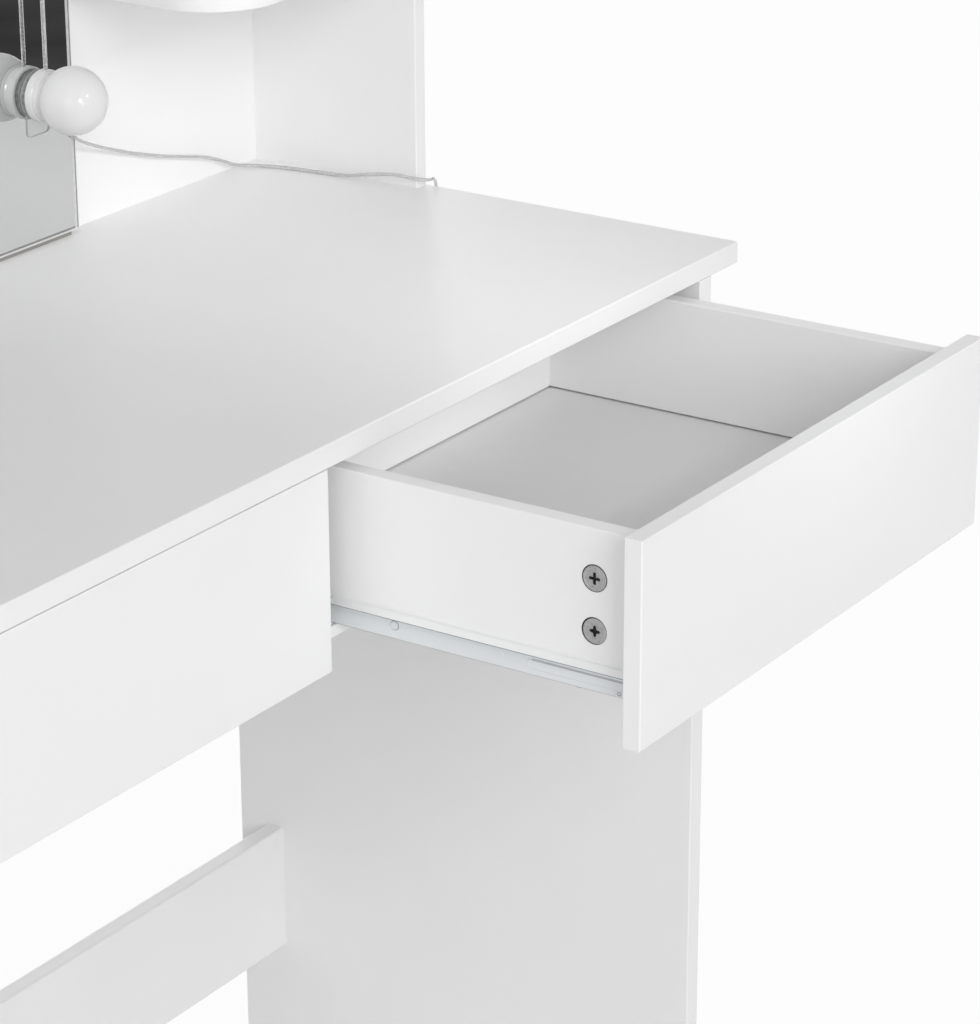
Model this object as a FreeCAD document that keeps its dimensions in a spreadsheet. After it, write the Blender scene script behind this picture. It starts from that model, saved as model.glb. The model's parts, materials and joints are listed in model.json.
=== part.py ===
import FreeCAD, Part
import Sketcher
import math
import os
import re
from FreeCAD import Placement, Rotation, Vector

# Dressing table: a tabletop on two panel legs, two drawers on roller slides, an open hutch
# with round-cornered shelves and a mirror lit by a string of lamps.
# Origin on the floor under the middle of the tabletop, +X to the right, +Y to the back, +Z up.

# Driving dimensions in millimetres: name, value and what it sets.
SIZES = [
    ("top_width", 940, "tabletop, end to end"),
    ("top_depth", 400, "tabletop, front to back"),
    ("top_thickness", 15, "tabletop board"),
    ("table_height", 750, "floor to the tabletop's upper face"),
    ("edge_radius", 1, "rounding of the edge-banded board edges"),
    ("end_overhang", 35, "tabletop past the legs at each end"),
    ("leg_thickness", 15, "leg panel board"),
    ("glide_height", 3, "foot glide under the leg panel"),
    ("glide_diameter", 13, "foot glide disc"),
    ("glide_pin_diameter", 3, "foot glide nail"),
    ("glide_pin_length", 12, "foot glide nail in the leg"),
    ("glide_setback", 40, "foot glide from the leg's front and back edge"),
    ("stretcher_thickness", 15, "rear stretcher board"),
    ("stretcher_height", 101, "rear stretcher, lower to upper edge"),
    ("stretcher_floor", 133, "floor to the stretcher's lower edge"),
    ("stretcher_setback", 25, "stretcher's back face from the legs' back edge"),
    ("stretcher_radius", 2, "rounding of the stretcher's long edges"),
    ("divider_thickness", 15, "centre divider board"),
    ("divider_setback", 2, "divider and front rail behind the drawer fronts"),
    ("rail_thickness", 8, "front rail board, laid flat under the drawers"),
    ("rail_depth", 60, "front rail, front to back"),
    ("rail_clearance", 0.5, "front rail to the runners' screw heads"),
    ("apron_thickness", 15, "rear apron board"),
    ("apron_height", 122, "rear apron, hung under the tabletop"),
    ("front_thickness", 12, "drawer front board"),
    ("front_height", 126.9, "drawer front, lower to upper edge"),
    ("front_gap", 0.6, "gap above the drawer fronts"),
    ("leg_gap", 1.5, "gap between a drawer front and its leg"),
    ("meeting_gap", 3, "gap between the two drawer fronts"),
    ("side_thickness", 12, "drawer side board"),
    ("side_height", 98, "drawer side, lower to upper edge"),
    ("side_raise", 21.5, "drawer side's lower edge above the front's lower edge"),
    ("drawer_depth", 300, "drawer, inside from front to back"),
    ("back_thickness", 12, "drawer back board"),
    ("bottom_thickness", 3, "drawer bottom panel"),
    ("bottom_raise", 16, "bottom panel above the sides' lower edge"),
    ("groove_depth", 5, "groove for the bottom panel"),
    ("groove_fit", 1.2, "slack of the bottom panel in its groove"),
    ("right_drawer_pull", 209, "how far the right drawer stands open"),
    ("slide_space", 12.5, "gap for a slide beside the drawer"),
    ("slide_length", 300, "slide channel and runner"),
    ("slide_setback", 2, "channel behind the drawer front"),
    ("runner_setback", 1, "runner behind the drawer front"),
    ("sheet_metal", 1, "slide sheet"),
    ("runner_lip", 9, "runner's lip under the drawer side"),
    ("flange_clearance", 1, "runner's flange to the channel's web"),
    ("web_clearance", 0.6, "channel's flanges to the runner's web"),
    ("top_clearance", 0.9, "runner's flange to the channel's upper flange"),
    ("roller_diameter", 15, "slide roller"),
    ("roller_width", 7, "slide roller"),
    ("roller_play", 0.3, "roller to the flanges it runs on"),
    ("roller_setback", 10, "roller axis from the end of its rail"),
    ("roller_offset", 1.8, "roller to the web that carries it"),
    ("rivet_diameter", 5, "roller pin"),
    ("rivet_fit", 0.05, "roller on its pin, radial"),
    ("rivet_end", 0.4, "pin past the roller"),
    ("cam_diameter", 15, "cam lock body"),
    ("cam_depth", 10, "cam lock in the board"),
    ("cam_rim_diameter", 16.6, "cam lock rim"),
    ("cam_rim_height", 0.5, "cam lock rim on the board's face"),
    ("cam_setback", 30, "cam axis from the edge it pulls to"),
    ("cam_axis_depth", 6, "cam bolt's axis under the face"),
    ("cam_drop", 30, "upper cam below the drawer side's upper edge"),
    ("cam_spacing", 32, "cam to cam"),
    ("cam_slot_length", 8, "screwdriver cross in the cam"),
    ("cam_slot_width", 1.8, "screwdriver cross in the cam"),
    ("cam_slot_depth", 1.6, "screwdriver cross in the cam"),
    ("bolt_thread_diameter", 5, "cam bolt's thread in the board"),
    ("bolt_thread_length", 8, "cam bolt's thread in the board"),
    ("bolt_head_diameter", 6.8, "cam bolt's shank and head"),
    ("bolt_bore_diameter", 7.6, "bore for the cam bolt"),
    ("drill_fit", 0.1, "bores over their fasteners, radial"),
    ("confirmat_length", 40, "carcass screw"),
    ("confirmat_diameter", 5, "carcass screw"),
    ("confirmat_head_diameter", 9.5, "carcass screw head, set flush"),
    ("confirmat_head_height", 3, "carcass screw head, set flush"),
    ("confirmat_socket", 4, "carcass screw's hexagon socket, across its flats"),
    ("confirmat_socket_depth", 2.4, "carcass screw's hexagon socket"),
    ("screw_length", 8, "small wood screw"),
    ("screw_diameter", 3, "small wood screw"),
    ("screw_head_diameter", 6.5, "small wood screw head"),
    ("screw_head_height", 1, "small wood screw head"),
    ("screw_slot_length", 4, "screwdriver cross in the small screws"),
    ("screw_slot_width", 0.9, "screwdriver cross in the small screws"),
    ("screw_slot_depth", 0.7, "screwdriver cross in the small screws"),
    ("screw_margin", 40, "small screws from the ends of what they hold"),
    ("nail_length", 12, "back panel nail"),
    ("nail_diameter", 1.4, "back panel nail"),
    ("nail_head_diameter", 4, "back panel nail head"),
    ("nail_head_height", 0.8, "back panel nail head"),
    ("nail_margin", 45, "nails from the top and foot of the back panel"),
    ("hutch_height", 650, "tabletop to the top of the hutch"),
    ("hutch_depth", 145, "hutch, front edge to back face"),
    ("hutch_side_thickness", 12, "hutch side board"),
    ("hutch_back_thickness", 3, "hutch back panel"),
    ("shelf_thickness", 12, "shelf board"),
    ("first_shelf", 164.5, "tabletop to the lowest shelf's underside"),
    ("shelf_corner", 47, "round front corner of a shelf"),
    ("shelf_gap", 1.5, "shelf end to the mirror's edge"),
    ("mirror_width", 488, "mirror glass"),
    ("mirror_height", 630, "mirror glass"),
    ("mirror_thickness", 4, "mirror glass"),
    ("mirror_raise", 3, "mirror's lower edge above the tabletop"),
    ("mirror_bevel", 2.4, "bevel round the mirror's face"),
    ("mirror_board_thickness", 9, "backing board of the mirror"),
    ("mirror_board_inset", 6, "backing board inside the mirror's edge"),
    ("lamp_inset", 40, "lamp axis from the mirror's side edge"),
    ("lamp_first", 106, "lowest lamp's axis above the tabletop"),
    ("lamp_spacing", 106, "lamp to lamp"),
    ("lamps_per_side", 5, "lamps in a column"),
    ("globe_diameter", 46, "lamp globe"),
    ("globe_reach", 32, "mirror's face to the globe's centre"),
    ("collar_diameter", 34, "lamp collar"),
    ("collar_ring", 0.8, "raised rim at the collar's foot"),
    ("collar_ring_length", 5, "raised rim at the collar's foot"),
    ("collar_end", 17, "mirror's face to the globe's seat on the collar"),
    ("pad_diameter", 33, "adhesive pad behind the collar"),
    ("pad_thickness", 4.6, "adhesive pad behind the collar"),
    ("tab_width", 22, "clear pull tab under the pad"),
    ("tab_length", 11, "clear pull tab under the pad"),
    ("tab_thickness", 0.8, "clear pull tab under the pad"),
    ("wire_diameter", 3, "clear wire between the lamps"),
    ("wire_reach", 9.3, "mirror's face to the wire"),
    ("wire_gap", 0.3, "wire's end to the collar"),
    ("wire_sag", 14, "sag of the wire across the mirror's top"),
    ("lead_diameter", 2.4, "clear lead"),
    ("coil_turns", 3, "turns in each of the coil's two layers"),
    ("coil_inner", 8, "innermost turn's radius"),
    ("coil_pitch", 3.4, "turn to turn"),
    ("coil_rise", 3.1, "layer to layer"),
    ("coil_floor", 0.5, "coil's lowest point above the floor"),
    ("plug_lead", 20, "straight lead from the coil to the plug"),
    ("tie_width", 6, "tie round the coil, along the cord"),
    ("tie_thickness", 0.4, "tie band"),
    ("tie_slack", 0.4, "tie to the coil's turns"),
    ("plug_width", 15, "plug body"),
    ("plug_height", 8.5, "plug body"),
    ("plug_length", 24, "plug body"),
    ("plug_shell_width", 12, "plug's metal shell"),
    ("plug_shell_height", 4.5, "plug's metal shell"),
    ("plug_shell_length", 12, "plug's metal shell"),
]

doc = FreeCAD.newDocument("DressingTable")
sheet = doc.addObject("Spreadsheet::Sheet", "Sizes")
for row, (alias, value, note) in enumerate(SIZES, start=1):
    sheet.set(f"A{row}", note)
    sheet.set(f"B{row}", str(value))
    sheet.setAlias(f"B{row}", alias)
doc.recompute()
ALIASES = {alias for alias, value, note in SIZES}

# Finished sub-parts by name, and the bores still to be drilled in them.
NODES = {}
BORES = {}


def bound(text):
    """Expression text with each named size pointed at its cell."""
    return re.sub(r"[a-z_]+", lambda word: "Sizes." + word[0] if word[0] in ALIASES else word[0], text)


def size(text):
    """Value of an expression of named sizes."""
    return float(sheet.evalExpression(text))


def point(x, y, z):
    """Place given by three expressions."""
    return Vector(size(x), size(y), size(z))


# Planes of the assembly, worked out from the driving dimensions.
END = "(top_width / 2)"
FRONT = "(-top_depth / 2)"
BACK = "(top_depth / 2)"
TOP_UNDER = "(table_height - top_thickness)"
LEG_OUT = f"({END} - end_overhang)"
LEG_IN = f"({LEG_OUT} - leg_thickness)"
FRONT_BACK = f"({FRONT} + front_thickness)"
APRON_FACE = f"({BACK} - apron_thickness)"
DIVIDER_FACE = "(divider_thickness / 2)"
APRON_LOW = f"({TOP_UNDER} - apron_height)"
STRETCHER_BACK = f"({BACK} - stretcher_setback)"
STRETCHER_FACE = f"({STRETCHER_BACK} - stretcher_thickness)"
STRETCHER_TOP = "(stretcher_floor + stretcher_height)"
FRONT_TOP = f"({TOP_UNDER} - front_gap)"
FRONT_LOW = f"({FRONT_TOP} - front_height)"
SIDE_LOW = f"({FRONT_LOW} + side_raise)"
SIDE_TOP = f"({SIDE_LOW} + side_height)"
BOTTOM_LOW = f"({SIDE_LOW} + bottom_raise)"
BOTTOM_TOP = f"({BOTTOM_LOW} + bottom_thickness)"
BOX_IN = f"({DIVIDER_FACE} + slide_space)"
BOX_OUT = f"({LEG_IN} - slide_space)"
SLIDE_LOW = f"({SIDE_LOW} - sheet_metal)"
RAIL_FACE = f"({FRONT_BACK} + divider_setback)"
RAIL_TOP = f"({SLIDE_LOW} - screw_head_height - rail_clearance)"
RAIL_LOW = f"({RAIL_TOP} - rail_thickness)"
ROLLER_AXIS = f"({SLIDE_LOW} + sheet_metal + roller_play + roller_diameter / 2)"
FLANGE_LOW = f"({ROLLER_AXIS} + roller_diameter / 2 + roller_play)"
CHANNEL_START = f"({FRONT_BACK} + slide_setback)"
HUTCH_FRONT = f"({BACK} - hutch_depth)"
HUTCH_BACK_FACE = f"({BACK} - hutch_back_thickness)"
HUTCH_TOP = "(table_height + hutch_height)"
HUTCH_IN = f"({END} - hutch_side_thickness)"
MIRROR_FACE = f"({HUTCH_BACK_FACE} - mirror_board_thickness - mirror_thickness)"
MIRROR_LOW = "(table_height + mirror_raise)"
MIRROR_TOP = f"({MIRROR_LOW} + mirror_height)"
SHELF_END = "(mirror_width / 2 + shelf_gap)"
LAMP_X = "(mirror_width / 2 - lamp_inset)"


def mirrored(sign, low, high):
    """The pair low, high on the right-hand side, or its mirror image on the left."""
    if sign > 0:
        return low, high
    return f"-({high})", f"-({low})"


def edges_on(shape, along, face):
    """Names of a block's edges that run along an axis and lie on a face, such as "z" on "-y"."""
    box = shape.BoundBox
    limit = getattr(box, face[1].upper() + ("Max" if face[0] == "+" else "Min"))
    names = []
    for number, edge in enumerate(shape.Edges, start=1):
        run = edge.Vertexes[-1].Point - edge.Vertexes[0].Point
        parallel = abs(getattr(run, along)) > 0.99 * run.Length
        if parallel and abs(getattr(edge.CenterOfMass, face[1]) - limit) < 1e-6:
            names.append(f"Edge{number}")
    return names


def soften(body, name, edges, radius):
    """Round the named edges of the body's last feature."""
    base = body.Tip
    fillet = body.newObject("PartDesign::Fillet", name)
    fillet.Base = (base, edges)
    fillet.setExpression("Radius", bound(radius))
    doc.recompute()


def board(label, x, y, z, soft=()):
    """A board between low and high expressions on each axis, with some edges rounded over."""
    body = doc.addObject("PartDesign::Body", label + "_body")
    block = body.newObject("PartDesign::AdditiveBox", label + "_block")
    for side, length, (low, high) in zip("xyz", ("Length", "Width", "Height"), (x, y, z)):
        block.setExpression(length, bound(f"({high}) - ({low})"))
        block.setExpression("Placement.Base." + side, bound(low))
    doc.recompute()
    edges = sorted({name for along, face in soft for name in edges_on(block.Shape, along, face)})
    if edges:
        soften(body, label + "_soft", edges, "edge_radius")
    NODES[label] = body
    return body


def profile(label, corners, start, end):
    """A bent sheet rail: its section's corners in x and z, padded along y from start to end."""
    body = doc.addObject("PartDesign::Body", label + "_body")
    sketch = body.newObject("Sketcher::SketchObject", label + "_section")
    plane = next(item for item in body.Origin.OriginFeatures if item.Role == "XZ_Plane")
    sketch.AttachmentSupport = [(plane, "")]
    sketch.MapMode = "FlatFace"
    sketch.setExpression("AttachmentOffset.Base.z", bound(f"-({end})"))
    places = [Vector(size(x), size(z), 0) for x, z in corners]
    count = len(corners)
    for number, place in enumerate(places):
        sketch.addGeometry(Part.LineSegment(place, places[(number + 1) % count]), False)
    for number in range(count):
        sketch.addConstraint(Sketcher.Constraint("Coincident", number, 2, (number + 1) % count, 1))
    for number, (x, z) in enumerate(corners):
        for kind, text, value in (("X", x, places[number].x), ("Y", z, places[number].y)):
            name = f"corner_{kind}{number}"
            made = sketch.addConstraint(Sketcher.Constraint("Distance" + kind, -1, 1, number, 1, value))
            sketch.renameConstraint(made, name)
            sketch.setExpression("Constraints." + name, bound(text))
    pad = body.newObject("PartDesign::Pad", label + "_pad")
    pad.Profile = sketch
    pad.setExpression("Length", bound(f"({end}) - ({start})"))
    doc.recompute()
    NODES[label] = body
    return body


def turned(name, steps):
    """A turned solid along +Z: a radius, start and end for each of its steps."""
    pieces = []
    for count, (radius, start, end) in enumerate(steps):
        piece = doc.addObject("Part::Cylinder", f"{name}_step_{count}")
        piece.setExpression("Radius", bound(radius))
        piece.setExpression("Height", bound(f"({end}) - ({start})"))
        piece.setExpression("Placement.Base.z", bound(start))
        pieces.append(piece)
    if len(pieces) == 1:
        doc.recompute()
        return pieces[0]
    whole = doc.addObject("Part::MultiFuse", name)
    whole.Shapes = pieces
    doc.recompute()
    return whole


def placed(shape, at, axis, side=None):
    """Copy of a shape with its own Z turned to axis and, if given, its own X turned to side."""
    if side is None:
        turn = Rotation(Vector(0, 0, 1), axis)
    else:
        turn = Rotation(side, Vector(), axis, "ZXY")
    copy = shape.copy()
    copy.Placement = Placement(at, turn).multiply(shape.Placement)
    return copy


def group(label, shapes):
    """Like pieces that share one name, each a separate solid."""
    item = doc.addObject("Part::Feature", label + "_group")
    item.Shape = Part.makeCompound(shapes)
    NODES[label] = item


def drill(label, shape):
    """Note a bore for a board."""
    BORES.setdefault(label, []).append(shape)


def cut_bores():
    """Drill the noted bores."""
    for label, tools in BORES.items():
        tool = doc.addObject("Part::Feature", label + "_bores")
        tool.Shape = tools[0].multiFuse(tools[1:]) if len(tools) > 1 else tools[0]
        cut = doc.addObject("Part::Cut", label + "_drilled")
        cut.Base = NODES[label]
        cut.Tool = tool
        NODES[label] = cut
    doc.recompute()


RIGHT, LEFT = 1, -1
SIDE_NAMES = {RIGHT: "right", LEFT: "left"}
X_AXIS, Y_AXIS, Z_AXIS = Vector(1, 0, 0), Vector(0, 1, 0), Vector(0, 0, 1)

# Tabletop, legs, stretcher, apron, front rail and divider.
ALL_FRONT = (("x", "-y"), ("z", "-y"))
board("tabletop", (f"-{END}", END), (FRONT, BACK), (TOP_UNDER, "table_height"),
      ALL_FRONT + (("y", "-x"), ("y", "+x"), ("z", "+y"), ("x", "+y")))
for sign in (LEFT, RIGHT):
    board(f"{SIDE_NAMES[sign]}_leg_panel", mirrored(sign, LEG_IN, LEG_OUT), (FRONT, BACK),
          ("glide_height", TOP_UNDER), (("z", "-y"), ("z", "+y")))
stretcher = board("rear_stretcher", (f"-{LEG_IN}", LEG_IN), (STRETCHER_FACE, STRETCHER_BACK),
                  ("stretcher_floor", STRETCHER_TOP))
long_edges = edges_on(stretcher.Shape, "x", "-y") + edges_on(stretcher.Shape, "x", "+y")
soften(stretcher, "rear_stretcher_soft", long_edges, "stretcher_radius")
board("rear_apron", (f"-{LEG_IN}", LEG_IN), (APRON_FACE, BACK), (APRON_LOW, TOP_UNDER))
board("front_rail", (f"-{LEG_IN}", LEG_IN), (RAIL_FACE, f"{RAIL_FACE} + rail_depth"), (RAIL_LOW, RAIL_TOP),
      (("x", "-y"),))
board("centre_divider", (f"-{DIVIDER_FACE}", DIVIDER_FACE), (RAIL_FACE, APRON_FACE), (RAIL_TOP, TOP_UNDER))

# Hutch: back panel, sides and three round-cornered shelves on each side of the mirror.
board("hutch_back_panel", (f"-{END}", END), (HUTCH_BACK_FACE, BACK), ("table_height", HUTCH_TOP))
for sign in (LEFT, RIGHT):
    board(f"{SIDE_NAMES[sign]}_hutch_side", mirrored(sign, HUTCH_IN, END), (HUTCH_FRONT, HUTCH_BACK_FACE),
          ("table_height", HUTCH_TOP), (("z", "-y"),))
SHELF_LEVELS = {
    "lower": "first_shelf",
    "middle": "((first_shelf + hutch_height - shelf_thickness) / 2)",
    "upper": "(hutch_height - shelf_thickness)",
}


def shelf(label, sign, level):
    """A shelf from the hutch side to the mirror's edge, its free front corner round."""
    low = f"(table_height + {level})"
    body = board(label, mirrored(sign, SHELF_END, HUTCH_IN), (HUTCH_FRONT, HUTCH_BACK_FACE),
                 (low, f"{low} + shelf_thickness"))
    shape = body.Shape
    free_end = edges_on(shape, "z", "-x" if sign > 0 else "+x")
    corner = [name for name in free_end if name in edges_on(shape, "z", "-y")]
    soften(body, label + "_corner", corner, "shelf_corner")
    box = body.Shape.BoundBox
    wall = box.XMax if sign > 0 else box.XMin
    rims = []
    for number, edge in enumerate(body.Shape.Edges, start=1):
        place = edge.CenterOfMass
        level_edge = edge.BoundBox.ZLength < 1e-6
        if level_edge and place.y < box.YMax - 1e-6 and abs(place.x - wall) > 1e-6:
            rims.append(f"Edge{number}")
    soften(body, label + "_rim", rims, "edge_radius")


for sign in (LEFT, RIGHT):
    for height_name, level in SHELF_LEVELS.items():
        shelf(f"{SIDE_NAMES[sign]}_{height_name}_shelf", sign, level)

# Mirror glass with a bevelled face, on its backing board.
board("mirror_board", ("-(mirror_width / 2 - mirror_board_inset)", "mirror_width / 2 - mirror_board_inset"),
      (f"{HUTCH_BACK_FACE} - mirror_board_thickness", HUTCH_BACK_FACE),
      ("table_height", f"{MIRROR_TOP} - mirror_board_inset"))
glass = board("mirror_glass", ("-mirror_width / 2", "mirror_width / 2"),
              (MIRROR_FACE, f"{MIRROR_FACE} + mirror_thickness"), (MIRROR_LOW, MIRROR_TOP))
bevel = glass.newObject("PartDesign::Chamfer", "mirror_glass_bevel")
bevel.Base = (glass.Group[0], edges_on(glass.Shape, "x", "-y") + edges_on(glass.Shape, "z", "-y"))
bevel.setExpression("Size", bound("mirror_bevel"))

# Lamps: pad and pull tab on the glass, collar, globe, and the wire from lamp to lamp.
OUT = Vector(0, -1, 0)
pad_form = turned("pad_form", [("pad_diameter / 2", "0", "pad_thickness")])
collar_form = turned("collar_form", [
    ("collar_diameter / 2 + collar_ring", "pad_thickness", "pad_thickness + collar_ring_length"),
    ("collar_diameter / 2", "pad_thickness + collar_ring_length", "collar_end"),
])
globe_form = doc.addObject("Part::Sphere", "globe_form")
globe_form.setExpression("Radius", bound("globe_diameter / 2"))
globe_form.setExpression("Angle1", bound("-asin((globe_reach - collar_end) / (globe_diameter / 2))"))
globe_form.setExpression("Placement.Base.z", bound("globe_reach"))
tab_form = doc.addObject("Part::Box", "tab_form")
for length, text in (("Length", "tab_width"), ("Width", "tab_length"), ("Height", "tab_thickness")):
    tab_form.setExpression(length, bound(text))
tab_form.setExpression("Placement.Base.x", bound("-tab_width / 2"))
tab_form.setExpression("Placement.Base.y", bound("-pad_diameter / 2 - tab_length"))
doc.recompute()


def lamp_axis(sign, number):
    """Foot of a lamp's axis on the mirror's face."""
    return point(f"{sign} * {LAMP_X}", MIRROR_FACE, f"table_height + lamp_first + {number} * lamp_spacing")


LAMPS = [lamp_axis(sign, number) for sign in (RIGHT, LEFT) for number in range(int(size("lamps_per_side")))]
for label, form in (("lamp_pads", pad_form), ("lamp_tabs", tab_form), ("lamp_collars", collar_form),
                    ("lamp_globes", globe_form)):
    group(label, [placed(form.Shape, foot, OUT, X_AXIS) for foot in LAMPS])


def round_tube(path, diameter):
    """Solid tube of round section along a smooth path."""
    start = path.Edges[0].valueAt(path.Edges[0].FirstParameter)
    heading = path.Edges[0].tangentAt(path.Edges[0].FirstParameter)
    section = Part.Wire([Part.makeCircle(diameter / 2, start, heading)])
    return path.makePipeShell([section], True, False)


def lamp_wires():
    """Straight wires up each column of lamps, and one that sags between the two top lamps."""
    radius = size("wire_diameter / 2")
    clear = size("collar_diameter / 2 + collar_ring + wire_gap")
    forward = OUT * size("wire_reach")
    wires = []
    for foot, above in zip(LAMPS, LAMPS[1:]):
        if abs(foot.x - above.x) < 1e-6:
            start = foot + forward + Z_AXIS * clear
            wires.append(Part.makeCylinder(radius, (above - foot).Length - 2 * clear, start))
    last = int(size("lamps_per_side")) - 1
    right_end = lamp_axis(RIGHT, last) + forward - X_AXIS * clear
    left_end = lamp_axis(LEFT, last) + forward + X_AXIS * clear
    middle = (right_end + left_end) * 0.5 - Z_AXIS * size("wire_sag")
    wires.append(round_tube(Part.Wire([Part.Arc(right_end, middle, left_end).toShape()]), 2 * radius))
    return wires


group("lamp_wires", lamp_wires())



def driver_cross(name, length, width, depth, start):
    """Two crossed slots about Z, as tools to cut with."""
    slots = []
    for count, (along, across) in enumerate(((length, width), (width, length))):
        slot = doc.addObject("Part::Box", f"{name}_{count}")
        slot.setExpression("Length", bound(along))
        slot.setExpression("Width", bound(across))
        slot.setExpression("Height", bound(depth))
        slot.setExpression("Placement.Base.x", bound(f"-{along} / 2"))
        slot.setExpression("Placement.Base.y", bound(f"-{across} / 2"))
        slot.setExpression("Placement.Base.z", bound(start))
        slots.append(slot)
    return slots


def hollowed(name, whole, tools):
    """A turned solid with its driver recess cut out."""
    hollow = tools[0]
    if len(tools) > 1:
        hollow = doc.addObject("Part::MultiFuse", name + "_hollow")
        hollow.Shapes = tools
    cut = doc.addObject("Part::Cut", name)
    cut.Base = whole
    cut.Tool = hollow
    doc.recompute()
    return cut


# Fasteners and the bores they sit in.
confirmat_turned = turned("confirmat_turned", [
    ("confirmat_head_diameter / 2", "0", "confirmat_head_height"),
    ("confirmat_diameter / 2", "confirmat_head_height", "confirmat_length"),
])
confirmat_socket = doc.addObject("Part::Prism", "confirmat_socket")
confirmat_socket.Polygon = 6
confirmat_socket.setExpression("Circumradius", bound("confirmat_socket / sqrt(3)"))
confirmat_socket.setExpression("Height", bound("confirmat_socket_depth"))
confirmat_form = hollowed("confirmat_form", confirmat_turned, [confirmat_socket])
confirmat_bore = turned("confirmat_bore", [
    ("confirmat_head_diameter / 2 + drill_fit", "0", "confirmat_head_height"),
    ("confirmat_diameter / 2 + drill_fit", "confirmat_head_height", "confirmat_length + drill_fit"),
])
screw_turned = turned("screw_turned", [
    ("screw_head_diameter / 2", "-screw_head_height", "0"),
    ("screw_diameter / 2", "0", "screw_length"),
])
screw_cross = driver_cross("screw_slot", "screw_slot_length", "screw_slot_width", "screw_slot_depth",
                           "-screw_head_height")
screw_form = hollowed("screw_form", screw_turned, screw_cross)
screw_bore = turned("screw_bore", [("screw_diameter / 2 + drill_fit", "0", "screw_length + drill_fit")])
nail_form = turned("nail_form", [
    ("nail_head_diameter / 2", "-nail_head_height", "0"),
    ("nail_diameter / 2", "0", "nail_length"),
])
nail_bore = turned("nail_bore", [("nail_diameter / 2 + drill_fit", "0", "nail_length + drill_fit")])
glide_form = turned("glide_form", [
    ("glide_diameter / 2", "-glide_height", "0"),
    ("glide_pin_diameter / 2", "0", "glide_pin_length"),
])
glide_bore = turned("glide_bore", [("glide_pin_diameter / 2 + drill_fit", "0", "glide_pin_length + drill_fit")])
bolt_form = turned("bolt_form", [
    ("bolt_thread_diameter / 2", "-bolt_thread_length", "0"),
    ("bolt_head_diameter / 2", "0", "cam_setback"),
])
bolt_bore = turned("bolt_bore", [
    ("bolt_thread_diameter / 2 + drill_fit", "-bolt_thread_length - drill_fit", "0"),
    ("bolt_bore_diameter / 2", "0", "cam_setback"),
])
cam_bore = turned("cam_bore", [("cam_diameter / 2 + drill_fit", "0", "cam_depth + drill_fit")])


def make_cam():
    """Cam lock along +Z: a rimmed drum with a cross for the driver and a bore for its bolt on +X."""
    drum = turned("cam_drum", [
        ("cam_rim_diameter / 2", "-cam_rim_height", "0"),
        ("cam_diameter / 2", "0", "cam_depth"),
    ])
    channel = doc.addObject("Part::Cylinder", "cam_channel")
    channel.setExpression("Radius", bound("bolt_bore_diameter / 2"))
    channel.setExpression("Height", bound("cam_diameter"))
    channel.Placement = Placement(Vector(), Rotation(Z_AXIS, X_AXIS))
    channel.setExpression("Placement.Base.x", bound("-drill_fit"))
    channel.setExpression("Placement.Base.z", bound("cam_axis_depth"))
    cross = driver_cross("cam_slot", "cam_slot_length", "cam_slot_width", "cam_slot_depth", "-cam_rim_height")
    return hollowed("cam_form", drum, [channel] + cross)


cam_form = make_cam()


def set_screws(form, bore, places):
    """Copies of a fastener at places (point, axis, names of the boards it is driven through)."""
    copies = []
    for at, axis, boards in places:
        copies.append(placed(form.Shape, at, axis))
        for label in boards:
            drill(label, placed(bore.Shape, at, axis))
    return copies


def set_cams(places):
    """Cams and their bolts: (point on the edge pulled to, way out of it, way into the face, two boards)."""
    cams, bolts = [], []
    for at, away, inward, held, holder in places:
        axis_point = at + away * size("cam_setback")
        face_point = axis_point - inward * size("cam_axis_depth")
        cams.append(placed(cam_form.Shape, face_point, inward, away * -1))
        bolts.append(placed(bolt_form.Shape, at, away))
        drill(held, placed(cam_bore.Shape, face_point, inward))
        for label in (held, holder):
            drill(label, placed(bolt_bore.Shape, at, away))
    return cams, bolts


# Carcass cams: legs and divider pulled up to the tabletop.
carcass_cams = []
CAM_ROWS = ("-top_depth * 0.3", "top_depth * 0.3")
for sign in (LEFT, RIGHT):
    for row in CAM_ROWS:
        at = point(f"{sign} * ({LEG_IN} + cam_axis_depth)", row, TOP_UNDER)
        carcass_cams.append((at, Z_AXIS * -1, X_AXIS * sign, f"{SIDE_NAMES[sign]}_leg_panel", "tabletop"))
for row in CAM_ROWS:
    at = point(f"{DIVIDER_FACE} - cam_axis_depth", row, TOP_UNDER)
    carcass_cams.append((at, Z_AXIS * -1, X_AXIS * -1, "centre_divider", "tabletop"))
cams, bolts = set_cams(carcass_cams)
group("carcass_cam_fittings", cams + bolts)

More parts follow.
